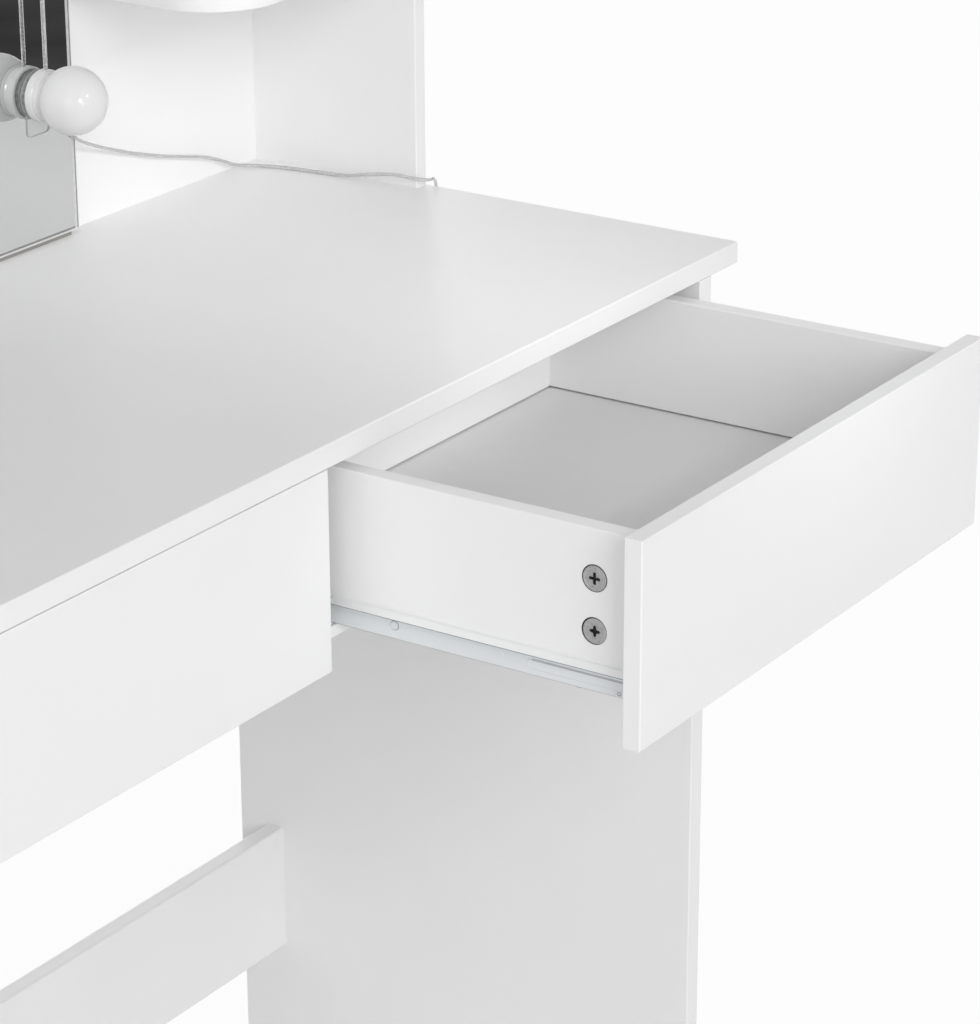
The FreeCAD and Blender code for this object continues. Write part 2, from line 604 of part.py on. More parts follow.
# Carcass screws: stretcher, apron and front rail through the legs, divider through the apron and the
# front rail, hutch sides and mirror board through the tabletop, shelves through the hutch sides.
carcass_screws = []
STRETCHER_MID = f"({STRETCHER_FACE} + stretcher_thickness / 2)"
APRON_MID = f"({APRON_FACE} + apron_thickness / 2)"
RAIL_MID = f"({RAIL_FACE} + rail_depth / 2)"
MIRROR_BOARD_MID = f"({HUTCH_BACK_FACE} - mirror_board_thickness / 2)"
for sign in (LEFT, RIGHT):
    inward = X_AXIS * -sign
    name = SIDE_NAMES[sign]
    for share in (0.25, 0.75):
        at = point(f"{sign} * {LEG_OUT}", STRETCHER_MID, f"stretcher_floor + {share} * stretcher_height")
        carcass_screws.append((at, inward, (f"{name}_leg_panel", "rear_stretcher")))
        at = point(f"{sign} * {LEG_OUT}", APRON_MID, f"{APRON_LOW} + {share} * apron_height")
        carcass_screws.append((at, inward, (f"{name}_leg_panel", "rear_apron")))
        at = point(f"{sign} * ({END} - hutch_side_thickness / 2)", f"{BACK} - {share} * hutch_depth", TOP_UNDER)
        carcass_screws.append((at, Z_AXIS, ("tabletop", f"{name}_hutch_side")))
        for height_name, level in SHELF_LEVELS.items():
            at = point(f"{sign} * {END}", f"{BACK} - {share} * hutch_depth",
                       f"table_height + {level} + shelf_thickness / 2")
            carcass_screws.append((at, inward, (f"{name}_hutch_side", f"{name}_{height_name}_shelf")))
    at = point(f"{sign} * mirror_width / 4", MIRROR_BOARD_MID, TOP_UNDER)
    carcass_screws.append((at, Z_AXIS, ("tabletop", "mirror_board")))
    at = point(f"{sign} * {LEG_OUT}", RAIL_MID, f"({RAIL_LOW} + {RAIL_TOP}) / 2")
    carcass_screws.append((at, inward, (f"{name}_leg_panel", "front_rail")))
carcass_screws.append((point("0", RAIL_MID, RAIL_LOW), Z_AXIS, ("front_rail", "centre_divider")))
for share in (0.25, 0.75):
    at = point("0", BACK, f"{RAIL_TOP} + {share} * ({TOP_UNDER} - {RAIL_TOP})")
    carcass_screws.append((at, Y_AXIS * -1, ("rear_apron", "centre_divider")))
group("confirmat_screws", set_screws(confirmat_form, confirmat_bore, carcass_screws))

# Nails through the back panel into the hutch sides and shelves.
nails = []
for sign in (LEFT, RIGHT):
    name = SIDE_NAMES[sign]
    for share in (0, 0.25, 0.5, 0.75, 1):
        height = f"table_height + nail_margin + {share} * (hutch_height - 2 * nail_margin)"
        at = point(f"{sign} * ({END} - hutch_side_thickness / 2)", BACK, height)
        nails.append((at, Y_AXIS * -1, ("hutch_back_panel", f"{name}_hutch_side")))
    for height_name, level in SHELF_LEVELS.items():
        at = point(f"{sign} * ({SHELF_END} + {HUTCH_IN}) / 2", BACK,
                   f"table_height + {level} + shelf_thickness / 2")
        nails.append((at, Y_AXIS * -1, ("hutch_back_panel", f"{name}_{height_name}_shelf")))
group("back_panel_nails", set_screws(nail_form, nail_bore, nails))

# Foot glides under the legs.
glides = []
for sign in (LEFT, RIGHT):
    for row in (f"{FRONT} + glide_setback", f"{BACK} - glide_setback"):
        at = point(f"{sign} * ({LEG_IN} + leg_thickness / 2)", row, "glide_height")
        glides.append((at, Z_AXIS, (f"{SIDE_NAMES[sign]}_leg_panel",)))
group("foot_glides", set_screws(glide_form, glide_bore, glides))

# Small screws: mirror board from behind; slide channels and runners are added further down.
wood_screws = []
for sign in (LEFT, RIGHT):
    for height in ("table_height + mirror_height / 4", "table_height + mirror_height * 3 / 4"):
        at = point(f"{sign} * mirror_width / 4", BACK, height)
        wood_screws.append((at, Y_AXIS * -1, ("hutch_back_panel", "mirror_board")))

# Roller that runs on a rail's flange, turned about its own Z.
roller_rim = turned("roller_rim", [("roller_diameter / 2", "0", "roller_width")])
roller_eye = turned("roller_eye", [("rivet_diameter / 2 + rivet_fit", "0", "roller_width")])
roller_form = doc.addObject("Part::Cut", "roller_form")
roller_form.Base = roller_rim
roller_form.Tool = roller_eye
doc.recompute()


def rail_pin(body, label, wall, way, row):
    """Pin for a roller, riveted in a rail's web at the wall and pointing the given way along x."""
    pin = body.newObject("PartDesign::AdditiveCylinder", label + "_pin")
    pin.Placement = Placement(Vector(), Rotation(Z_AXIS, X_AXIS * way))
    pin.setExpression("Radius", bound("rivet_diameter / 2"))
    pin.setExpression("Height", bound("roller_offset + roller_width + rivet_end"))
    pin.setExpression("Placement.Base.x", bound(wall))
    pin.setExpression("Placement.Base.y", bound(row))
    pin.setExpression("Placement.Base.z", bound(ROLLER_AXIS))
    doc.recompute()


def roller_at(wall, way, row):
    """Roller on the pin that rail_pin makes from the same values."""
    at = point(f"{wall} + {way} * roller_offset", row, ROLLER_AXIS)
    return placed(roller_form.Shape, at, X_AXIS * way)


def channel(label, panel, wall, way):
    """Slide channel on a cabinet wall; way is the direction along x from the wall to the drawer."""
    def off(text):
        return f"{wall} + {way} * ({text})"

    web, rim = "sheet_metal", "slide_space - sheet_metal - web_clearance"
    upper = f"{FLANGE_LOW} + sheet_metal + top_clearance"
    corners = [
        (off("0"), SLIDE_LOW), (off(rim), SLIDE_LOW),
        (off(rim), f"{SLIDE_LOW} + sheet_metal"), (off(web), f"{SLIDE_LOW} + sheet_metal"),
        (off(web), upper), (off(rim), upper),
        (off(rim), f"{upper} + sheet_metal"), (off("0"), f"{upper} + sheet_metal"),
    ]
    body = profile(label, corners, CHANNEL_START, f"{CHANNEL_START} + slide_length")
    row = f"{CHANNEL_START} + roller_setback"
    rail_pin(body, label, off(web), way, row)
    for offset in ("screw_margin", "slide_length / 2", "slide_length - screw_margin"):
        at = point(off(web), f"{CHANNEL_START} + {offset}", ROLLER_AXIS)
        wood_screws.append((at, X_AXIS * -way, (label, panel)))
    return roller_at(off(web), way, row)


def runner(label, side_label, wall, way, start, screws):
    """Drawer's rail under and beside a drawer side; way points along x from the drawer to its wall."""
    def off(text):
        return f"{wall} + {way} * ({text})"

    web, rim = "sheet_metal", "slide_space - sheet_metal - flange_clearance"
    corners = [
        (off("-runner_lip"), SLIDE_LOW), (off(web), SLIDE_LOW), (off(web), FLANGE_LOW),
        (off(rim), FLANGE_LOW), (off(rim), f"{FLANGE_LOW} + sheet_metal"),
        (off("0"), f"{FLANGE_LOW} + sheet_metal"), (off("0"), SIDE_LOW), (off("-runner_lip"), SIDE_LOW),
    ]
    body = profile(label, corners, start, f"{start} + slide_length")
    row = f"{start} + slide_length - roller_setback"
    rail_pin(body, label, off(web), way, row)
    for offset in ("screw_margin", "slide_length - screw_margin"):
        at = point(off("-runner_lip / 2"), f"{start} + {offset}", SLIDE_LOW)
        screws.append((at, Z_AXIS, (label, side_label)))
    return roller_at(off(web), way, row)


def groove(name, x, y):
    """Groove that the bottom panel slides into."""
    tool = doc.addObject("Part::Box", name)
    for length, side, (low, high) in (("Length", "x", x), ("Width", "y", y),
                                      ("Height", "z", (BOTTOM_LOW, f"{BOTTOM_TOP} + groove_fit"))):
        tool.setExpression(length, bound(f"({high}) - ({low})"))
        tool.setExpression("Placement.Base." + side, bound(low))
    doc.recompute()
    return tool.Shape


def drawer(sign, pull):
    """One drawer, pulled out by the expression pull, with its runners, channels and rollers."""
    bay = SIDE_NAMES[sign] + "_drawer"
    face = f"({FRONT} - {pull})"
    seat = f"({FRONT_BACK} - {pull})"
    back_face = f"({seat} + drawer_depth)"
    rear = f"({back_face} + back_thickness)"
    inner_face = f"({BOX_IN} + side_thickness)"
    outer_face = f"({BOX_OUT} - side_thickness)"
    board(f"{bay}_front", mirrored(sign, "meeting_gap / 2", f"{LEG_IN} - leg_gap"), (face, seat),
          (FRONT_LOW, FRONT_TOP), ALL_FRONT + (("x", "+y"), ("z", "+y")))
    sides = {"inner": (BOX_IN, inner_face), "outer": (outer_face, BOX_OUT)}
    for which, (low, high) in sides.items():
        board(f"{bay}_{which}_side", mirrored(sign, low, high), (seat, rear), (SIDE_LOW, SIDE_TOP),
              (("y", "-x"), ("y", "+x")))
    board(f"{bay}_back", mirrored(sign, inner_face, outer_face), (back_face, rear),
          (f"{BOTTOM_TOP} + groove_fit", SIDE_TOP))
    tongue = "(groove_depth - groove_fit)"
    board(f"{bay}_bottom", mirrored(sign, f"{inner_face} - {tongue}", f"{outer_face} + {tongue}"),
          (f"{seat} - {tongue}", rear), (BOTTOM_LOW, BOTTOM_TOP))
    inner_groove = mirrored(sign, f"{inner_face} - groove_depth", inner_face)
    outer_groove = mirrored(sign, outer_face, f"{outer_face} + groove_depth")
    front_groove = mirrored(sign, f"{inner_face} - groove_depth", f"{outer_face} + groove_depth")
    drill(f"{bay}_inner_side", groove(f"{bay}_inner_groove", inner_groove, (seat, rear)))
    drill(f"{bay}_outer_side", groove(f"{bay}_outer_groove", outer_groove, (seat, rear)))
    drill(f"{bay}_front", groove(f"{bay}_front_groove", front_groove, (f"{seat} - groove_depth", seat)))

    cam_places = []
    screws = []
    backs = []
    for which, wall, inward in (("inner", BOX_IN, 1), ("outer", BOX_OUT, -1)):
        into = X_AXIS * (sign * inward)
        label = f"{bay}_{which}_side"
        for drop in ("cam_drop", "cam_drop + cam_spacing"):
            at = point(f"{sign} * ({wall} + {inward} * cam_axis_depth)", seat, f"{SIDE_TOP} - ({drop})")
            cam_places.append((at, Y_AXIS, into, label, f"{bay}_front"))
        for share in (0.3, 0.7):
            height = f"{BOTTOM_TOP} + {share} * ({SIDE_TOP} - {BOTTOM_TOP})"
            at = point(f"{sign} * {wall}", f"{back_face} + back_thickness / 2", height)
            backs.append((at, into, (label, f"{bay}_back")))
    cams, bolts = set_cams(cam_places)
    group(f"{bay}_cam_locks", cams)
    group(f"{bay}_cam_bolts", bolts)

    start = f"({seat} + runner_setback)"
    rear_rollers = [
        runner(f"{bay}_inner_runner", f"{bay}_inner_side", f"{sign} * {BOX_IN}", -sign, start, screws),
        runner(f"{bay}_outer_runner", f"{bay}_outer_side", f"{sign} * {BOX_OUT}", sign, start, screws),
    ]
    front_rollers = [
        channel(f"{bay}_inner_channel", "centre_divider", f"{sign} * {DIVIDER_FACE}", sign),
        channel(f"{bay}_outer_channel", f"{SIDE_NAMES[sign]}_leg_panel", f"{sign} * {LEG_IN}", -sign),
    ]
    group(f"{bay}_rear_rollers", rear_rollers)
    group(f"{bay}_front_rollers", front_rollers)
    back_screws = set_screws(confirmat_form, confirmat_bore, backs)
    group(f"{bay}_screws", set_screws(screw_form, screw_bore, screws) + back_screws)


drawer(LEFT, "0")
drawer(RIGHT, "right_drawer_pull")
group("wood_screws", set_screws(screw_form, screw_bore, wood_screws))
cut_bores()

# The lead's route: from the lowest right lamp's collar along the back panel, down to the tabletop,
# along the hutch side, round its front edge, over the tabletop's end and down to the floor.
LEAD_ROUTE = [
    (218.2, 172.8, 846.2), (223.1, 173.4, 842.8), (226.6, 175.6, 838.4), (229.4, 178.2, 832.8),
    (232.6, 180.6, 826.2), (238.2, 182, 819.2), (246, 182.9, 814.2), (255, 184.8, 810.4), (273, 188, 803),
    (297.6, 190.5, 794), (320, 191.8, 786.4), (345, 192.6, 779), (370, 192.8, 772.8), (393, 192.2, 767.4),
    (411, 191.8, 760.4), (424, 191.2, 754.2), (434, 187.6, 752), (441.5, 177, 751.6), (447.4, 155, 751.5),
    (449.8, 130, 751.5), (450.4, 112, 752), (451.6, 97.6, 754.6), (452.2, 83.2, 757.4), (452.2, 68, 759.2),
    (451.6, 54.6, 758.8), (460.4, 46.2, 756.4), (470.4, 48.6, 755.4), (476.8, 51.4, 750.4), (479.2, 52.6, 742),
    (479.7, 53.2, 730), (479.8, 53.6, 704), (479.8, 54.4, 656), (479.7, 55.6, 600), (479.7, 57.4, 542),
    (479.8, 60, 484), (480.1, 63.2, 426), (480.6, 67.4, 368), (481.2, 71.8, 310), (481.7, 76.2, 252),
    (482, 80.4, 194), (482.1, 84.4, 136), (482.2, 88.2, 84), (482.2, 92, 46), (482.2, 97.4, 20),
    (482.2, 106, 6.4), (482.2, 119, 1.9), (482.2, 132, 1.7), (482.2, 142, 1.7),
]
COIL_AWAY = 148.0


def rounded_path(points, diameter):
    """Straight runs joined by tangent arcs as large as the shorter run allows, and the arcs' radii."""
    edges, radii = [], []
    last = points[0]
    for before, at, after in zip(points, points[1:], points[2:]):
        to_before, to_after = before - at, after - at
        run = min(to_before.Length, to_after.Length)
        half_turn = (math.pi - to_before.getAngle(to_after)) / 2
        reach = 0.45 * run
        radii.append(reach / math.tan(half_turn))
        start = at + to_before.normalize() * reach
        end = at + to_after.normalize() * reach
        inward = (start + end) * 0.5 - at
        inward.normalize()
        centre_distance = math.hypot(reach, radii[-1])
        middle = at + inward * (centre_distance - radii[-1])
        edges.append(Part.LineSegment(last, start).toShape())
        edges.append(Part.Arc(start, middle, end).toShape())
        last = end
    edges.append(Part.LineSegment(last, points[-1]).toShape())
    print(f"lead: {sum(edge.Length for edge in edges):.0f} mm along its free stretch, radii",
          " ".join(f"{radius:.0f}" for radius in radii), f"for {diameter} mm")
    return Part.Wire(edges)


def make_lead():
    """The lead's free stretch as one tube."""
    diameter = size("lead_diameter")
    path = rounded_path([Vector(*place) for place in LEAD_ROUTE], diameter)
    tube = round_tube(path, diameter)
    share = tube.Volume / (math.pi * diameter ** 2 / 4 * path.Length)
    print(f"lead: volume over section times length {share:.4f}")
    group("light_lead", [tube])


def biarc(start, heading, end, leaving):
    """Two tangent arcs from one point and direction to another."""
    across = end - start
    both = heading + leaving
    square = 2 * (1 - heading.dot(leaving))
    along = 2 * across.dot(both)
    reach = (-along + math.sqrt(along ** 2 + 4 * square * across.dot(across))) / (2 * square)
    near, far = start + heading * reach, end - leaving * reach
    join = (near + far) * 0.5
    arcs = []
    for first, corner, second in ((start, near, join), (join, far, end)):
        chord = (first + second) * 0.5
        rise = (corner - chord).Length
        half = (second - first).Length / 2
        bulge = half * math.tan(math.atan2(rise, half) / 2)
        arcs.append(Part.Arc(first, chord + (corner - chord).normalize() * bulge, second).toShape())
    return arcs


def make_coil():
    """The put-away length: a spiral in on the floor, a climb of half a turn, and a spiral out on top."""
    diameter, inner, pitch = size("lead_diameter"), size("coil_inner"), size("coil_pitch")
    turns, rise = int(size("coil_turns")), size("coil_rise")
    low = size("coil_floor + lead_diameter / 2")
    outer = inner + turns * pitch
    entry = Vector(*LEAD_ROUTE[-1])
    centre = Vector(entry.x - outer, COIL_AWAY, low)

    def place(angle):
        """Point of the spiral after an angle, in turns from its start."""
        climb = min(max((angle - turns) / 0.5, 0), 1)
        radius = inner + pitch * (max(turns - angle, 0) + max(angle - turns - 0.5, 0))
        lift = rise * climb * climb * (3 - 2 * climb)
        turn = 2 * math.pi * angle
        return centre + Vector(radius * math.cos(turn), radius * math.sin(turn), lift)

    def heading(angle):
        step = 1e-5
        ahead = place(angle + step) - place(angle - step)
        return ahead.normalize()

    quarters = int(4 * (2 * turns + 0.5))
    stations = [count / 4 for count in range(quarters + 1)]
    headings = [heading(angle) for angle in stations]
    headings[0], headings[-1] = Y_AXIS, Y_AXIS * -1
    edges = [Part.LineSegment(entry, place(0)).toShape()]
    for number in range(quarters):
        edges += biarc(place(stations[number]), headings[number],
                       place(stations[number + 1]), headings[number + 1])
    tail = place(stations[-1])
    end = tail - Y_AXIS * size("plug_lead")
    edges.append(Part.LineSegment(tail, end).toShape())
    path = Part.Wire(edges)
    group("lead_coil", [round_tube(path, diameter)])

    samples = [edge.valueAt(edge.FirstParameter + share * (edge.LastParameter - edge.FirstParameter))
               for edge in edges for share in (0, 0.125, 0.25, 0.375, 0.5, 0.625, 0.75, 0.875)]
    apart = 16
    gap = min((first - second).Length for number, first in enumerate(samples)
              for second in samples[number + apart:])
    print(f"coil: {path.Length:.0f} mm, least gap to itself {gap - diameter:.2f} mm")
    return centre, outer, end


make_lead()
coil_centre, coil_outer, coil_end = make_coil()


def solid_box(low, high):
    """Plain block between two corners."""
    return Part.makeBox(*(high - low), low)


def make_tie():
    """Band round the coil's turns on the side away from the table's front."""
    radius = size("lead_diameter / 2")
    slack = size("tie_slack")
    width = Vector(size("tie_width"), 0, 0)
    inner = math.sqrt((size("coil_inner") - radius) ** 2 - size("tie_width / 2") ** 2)
    low = Vector(coil_centre.x, coil_centre.y + inner - slack, size("tie_thickness"))
    high = Vector(coil_centre.x, coil_centre.y + coil_outer + radius + slack,
                  size("coil_floor + lead_diameter + coil_rise") + slack)
    wall = Vector(0, size("tie_thickness"), size("tie_thickness"))
    band = solid_box(low - wall - width * 0.5, high + wall + width * 0.5)
    group("lead_tie", [band.cut(solid_box(low - width, high + width))])


def make_plug():
    """Plug on the lead's end: a moulded body and its flat metal shell."""
    pieces = []
    rear = coil_end.y
    for width, height, length in (("plug_width", "plug_height", "plug_length"),
                                  ("plug_shell_width", "plug_shell_height", "plug_shell_length")):
        half = Vector(size(width) / 2, 0, size(height) / 2)
        low = Vector(coil_end.x, rear - size(length), coil_end.z) - half
        high = Vector(coil_end.x, rear, coil_end.z) + half
        pieces.append(solid_box(low, high))
        rear -= size(length)
    group("usb_plug", pieces)


make_tie()
make_plug()

# Names, and a check of every object before anything is written.
doc.recompute()
for label, item in NODES.items():
    item.Label = label
faults = [item.Name for item in doc.Objects if {"Invalid", "Error"} & set(item.State)]
for label, item in NODES.items():
    shape = item.Shape
    if shape.isNull() or not shape.isValid() or not shape.Solids:
        faults.append(label)
if faults:
    raise RuntimeError("failed objects: " + ", ".join(faults))
os.makedirs("parts", exist_ok=True)
for label, item in NODES.items():
    item.Shape.exportStep(f"parts/{label}.step")
print(len(NODES), "sub-parts written")
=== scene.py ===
import json
import math
import bmesh
import bpy
from mathutils import Matrix, Vector


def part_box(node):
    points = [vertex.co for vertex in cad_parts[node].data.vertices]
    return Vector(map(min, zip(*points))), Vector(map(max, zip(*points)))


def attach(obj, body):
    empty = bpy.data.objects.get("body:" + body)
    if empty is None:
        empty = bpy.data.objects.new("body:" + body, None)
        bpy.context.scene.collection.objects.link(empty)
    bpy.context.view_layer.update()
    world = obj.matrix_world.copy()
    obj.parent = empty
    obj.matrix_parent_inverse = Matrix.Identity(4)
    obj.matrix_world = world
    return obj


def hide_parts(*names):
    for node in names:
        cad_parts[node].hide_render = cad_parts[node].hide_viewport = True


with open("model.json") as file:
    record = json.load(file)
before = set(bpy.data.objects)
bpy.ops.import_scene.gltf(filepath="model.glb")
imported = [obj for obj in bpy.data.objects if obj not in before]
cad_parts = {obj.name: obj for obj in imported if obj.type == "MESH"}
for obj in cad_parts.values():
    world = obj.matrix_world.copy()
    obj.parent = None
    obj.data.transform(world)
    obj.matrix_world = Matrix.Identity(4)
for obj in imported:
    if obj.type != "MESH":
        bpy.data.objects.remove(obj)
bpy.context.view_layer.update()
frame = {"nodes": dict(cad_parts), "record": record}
NODES = frame["nodes"]
SLOT_OF = {entry["node"]: entry["material_slot"] for entry in frame["record"]["subparts"]}

# The mirror: its face, and the painted light and shade lines along its border and foot, as distances in from
# the bevel, all in metres.
MIRROR_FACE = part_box("mirror_glass")[0].y
MIRROR_BEVEL = 0.0024
PAINTED_PALE_BORDER = (0.0046, 0.0041)
PAINTED_SHADE_BORDER = (0.0021, 0.0016)
PAINTED_HIGHLIGHT_BORDER = (0.0009, 0.0005)
PAINTED_FOOT_REFLECTION = (0.0013, 0.0017)

# Places and sizes of the lamps on the mirror.
LAMP_X = 0.204
LAMP_FIRST = 0.856
LAMP_SPACING = 0.106
LAMPS_PER_SIDE = 5
GLOBE_RADIUS = 0.023
GLOBE_REACH = 0.032
GLOBE_SEAT = 0.017
GLOBE_SEAT_RADIUS = 0.0158
GLOBE_STEPS = 40
PAD_SKIN = (0.0013, 0.0009)

# Wires from lamp to lamp: a clear sleeve with two strands twisted in it.
WIRE_RADIUS = 0.0015
WIRE_REACH = 0.0093
WIRE_CLEAR = 0.0181
WIRE_SAG = 0.014
WIRE_STEPS = 8
SAG_STEPS = 24
STRAND_RADIUS = 0.00045
STRAND_OFFSET = 0.00048
STRAND_PITCH = 0.0055
STRAND_STEPS = 10

# Pull tabs under the lamps.
TAB_WIDTH = 0.022
TAB_TOP = 0.0165
TAB_TUCK = 0.004
TAB_LENGTH = 0.011
TAB_CORNER = 0.0032
TAB_CORNER_STEPS = 6
TAB_LIFT = 0.00005
TAB_THICKNESS = 0.0008

# Sections of the turned lamp parts: radius and distance from the mirror.
COLLAR_SECTION = [
    (0, 0.0046), (0.0166, 0.0046), (0.0174, 0.00475), (0.01775, 0.0052), (0.0178, 0.006),
    (0.0178, 0.0092), (0.0177, 0.0097), (0.0173, 0.01005), (0.01695, 0.0103), (0.0169, 0.0132),
    (0.0167, 0.0137), (0.0161, 0.0141), (0.016, 0.0148), (0.0163, 0.0154), (0.0168, 0.0158),
    (0.017, 0.0162), (0.017, 0.0167), (0.0167, 0.017), (0, 0.017),
]
PAD_SECTION = [
    (0, 0), (0.0161, 0), (0.0165, 0.0003), (0.0165, 0.0009), (0.0162, 0.0013),
    (0.0163, 0.0036), (0.0165, 0.004), (0.0164, 0.0044), (0.0161, 0.0046), (0, 0.0046),
]

# Cam locks of the drawers: where they sit, and their sections from the middle out.
CAM_HEIGHTS = (0.697, 0.665)
CAM_FROM_FRONT = 0.042
CAM_SHIFTS = ((0.00015, -0.0001), (0.0005, 0.0))
CAM_STEPS = 48
CAM_SECTION = [
    (0.0060, 0.00034), (0.0062, 0.00026), (0.0064, 0.00026), (0.0066, 0.00042),
    (0.0073, 0.00046), (0.0076, 0.0004), (0.0077, 0.00026), (0.0077, 0.0001),
]
# A black ring round each head, painted as the shade in the gap of its hole.
CAM_SHADE_RING_SECTION = [(0.0068, 0.00016), (0.0081, 0.00016), (0.0083, 0.0001), (0.0083, 0)]
RIDGE_SECTION = [(0.0044, 0), (0.0047, 0.00035), (0.0052, 0.00035), (0.0055, 0)]
RIDGE_START = 15
RIDGE_SWEEP = 150
RIDGE_STEPS = 20

# Driver recesses in the cam locks, painted black inside as shade: a cross with blunt arms, and a star with
# hollow sides.
CROSS_ARM = 0.0037
CROSS_HALF = 0.00095
CROSS_SHOULDER = 0.93
CROSS_NOSE = 0.55
STAR_INNER = 0.0017
STAR_REACH = 0.0019
STAR_HOLLOW = 2.2
STAR_STEPS = 32
RECESS_DEPTH = 0.0016
RECESS_TAPER = 0.7

# Runners of the drawers: bent sheet and its bead, places given from the front end and as heights.
SHEET = 0.001
FLANGE_TOP = 0.6456
FLANGE_ROUND = 0.004
FLANGE_STEPS = 8
BEND_STEPS = 6
BEAD_START = 0.0015
BEAD_END = 0.0733
BEAD_LOW = 0.6322
BEAD_HIGH = 0.6388
BEAD_RISE = 0.0008
BEAD_SLOPE = 0.0007
BEAD_FLAT = 0.72
BEAD_STEPS = 8

# Small turned features of the runners: roller pin, boss in its ring, hole and dimple.
PIN_FROM_REAR = 0.010
PIN_SECTION = [(0.0025, 0), (0.0025, 0.0088), (0.0021, 0.0092), (0, 0.0092)]
BOSS_PLACE = (0.1655, 0.637)
BOSS_RING_SECTION = [(0.0031, 0), (0.0030, 0.00006), (0.0026, 0.00006)]
BOSS_SECTION = [(0.0026, 0), (0.0025, 0.0005), (0.0021, 0.0007), (0.0016, 0.0006), (0, 0.0006)]
HOLE_PLACE = (0.0116, 0.6308)
HOLE_SECTION = [(0.0013, 0), (0.0012, 0.00008), (0.0009, 0.00008), (0.0008, 0)]
DIMPLE_PLACE = (0.0907, 0.6362)
DIMPLE_SECTION = [(0.0016, 0), (0.0012, 0.0003), (0, 0.0002)]

# Materials of a runner, and their places in its list: plain coat, painted shade lines, painted sheen on the
# flange top and painted shade on the bead's upper slope.
RAIL_MATERIALS = ["coated_rail", "rail_painted_shade", "rail_top_painted_sheen", "rail_shade"]
PLAIN, PAINTED_DARK_LINE, PAINTED_SHEEN, SHADE = range(4)

# The lead: its route from the lowest right lamp to the floor, and the coil it ends in.
LEAD_DIAMETER = 0.0024
LEAD_ROUTE = [
    (0.2182, 0.1728, 0.8462), (0.2231, 0.1734, 0.8428), (0.2266, 0.1756, 0.8384),
    (0.2294, 0.1782, 0.8328), (0.2326, 0.1806, 0.8262), (0.2382, 0.182, 0.8192),
    (0.246, 0.1829, 0.8142), (0.255, 0.1848, 0.8104), (0.273, 0.188, 0.803),
    (0.2976, 0.1905, 0.794), (0.32, 0.1918, 0.7864), (0.345, 0.1926, 0.779),
    (0.37, 0.1928, 0.7728), (0.393, 0.1922, 0.7674), (0.411, 0.1918, 0.7604),
    (0.424, 0.1912, 0.7542), (0.434, 0.1876, 0.752), (0.4415, 0.177, 0.7516),
    (0.4474, 0.155, 0.7515), (0.4498, 0.13, 0.7515), (0.4504, 0.112, 0.752),
    (0.4516, 0.0976, 0.7546), (0.4522, 0.0832, 0.7574), (0.4522, 0.068, 0.7592),
    (0.4516, 0.0546, 0.7588), (0.4604, 0.0462, 0.7564), (0.4704, 0.0486, 0.7554),
    (0.4768, 0.0514, 0.7504), (0.4792, 0.0526, 0.742), (0.4797, 0.0532, 0.73),
    (0.4798, 0.0536, 0.704), (0.4798, 0.0544, 0.656), (0.4797, 0.0556, 0.6),
    (0.4797, 0.0574, 0.542), (0.4798, 0.06, 0.484), (0.4801, 0.0632, 0.426),
    (0.4806, 0.0674, 0.368), (0.4812, 0.0718, 0.31), (0.4817, 0.0762, 0.252),
    (0.482, 0.0804, 0.194), (0.4821, 0.0844, 0.136), (0.4822, 0.0882, 0.084),
    (0.4822, 0.092, 0.046), (0.4822, 0.0974, 0.02), (0.4822, 0.106, 0.0064),
    (0.4822, 0.119, 0.0019), (0.4822, 0.132, 0.0017), (0.4822, 0.142, 0.0017),
]
COIL_CENTRE = Vector((0.464, 0.148, 0.0017))
COIL_INNER = 0.008
COIL_PITCH = 0.0034
COIL_RISE = 0.0031
COIL_TURNS = 3
COIL_CLIMB = 0.5
COIL_POINTS = 16
PLUG_LEAD = 0.020

# The photograph's camera: place, and its right, down and forward directions.
CAMERA_PLACE = Vector((-1.5652, -1.3492, 1.4642))
CAMERA_RIGHT = Vector((0.5519, -0.8339, -0.0035))
CAMERA_DOWN = Vector((-0.3049, -0.1978, -0.9316))
CAMERA_FORWARD = Vector((0.7762, 0.5152, -0.3635))
CAMERA_LENS = 126.8

# The stage: a wide floor just under the feet, and a dark card that the mirror sees.
FLOOR_HALF = 9
FLOOR_LEVEL = -0.0005
FLOOR_TONE = 0.86
FLOOR_GLOW = 0.95
CARD_LOW = (2.3, -2.6)
CARD_HIGH = (3.4, -1.5)
CARD_LEVEL = 0.02
AMBIENT = 0.505

# Lights: place, aim, size, watts and spread of the beam in degrees. The last one is the key as the mirror
# throws it back.
MIDDLE = (0.2, 0.0, 0.8)
FIRST_LAMP = (LAMP_X, MIRROR_FACE, LAMP_FIRST)
LIGHTS = {
    "key": ((-3.3, -5.5, 3.4), MIDDLE, 3.4, 193, 180),
    "side": ((-5.8, -2.6, 2.6), MIDDLE, 3.4, 42, 180),
    "rear": ((4.5, 4.8, 1.1), MIDDLE, 3.2, 85, 180),
    "drawer_beam": ((0.25, -1.5, 1.5), (0.25, 0.0, 0.70), 0.2, 0.093, 18),
    "hutch_beam": ((-0.5, -1.6, 1.0), (0.33, 0.19, 0.92), 0.2, 0.010, 13),
    "glint": ((-2.4, -5.0, 2.4), FIRST_LAMP, 0.8, 90, 180),
    "thrown_back": ((-3.3, 2 * MIRROR_FACE + 5.5, 3.4), MIDDLE, 3.4, 140, 180),
}


def add_camera():
    """Camera at the photograph's place and angle."""
    data = bpy.data.cameras.new("camera")
    data.sensor_width = 36
    data.lens = CAMERA_LENS
    data.clip_start = 0.05
    data.clip_end = 100
    camera = bpy.data.objects.new("camera", data)
    axes = Matrix((CAMERA_RIGHT, -CAMERA_DOWN, -CAMERA_FORWARD)).transposed()
    camera.matrix_world = Matrix.Translation(CAMERA_PLACE) @ axes.to_4x4()
    bpy.context.scene.collection.objects.link(camera)
    bpy.context.scene.camera = camera


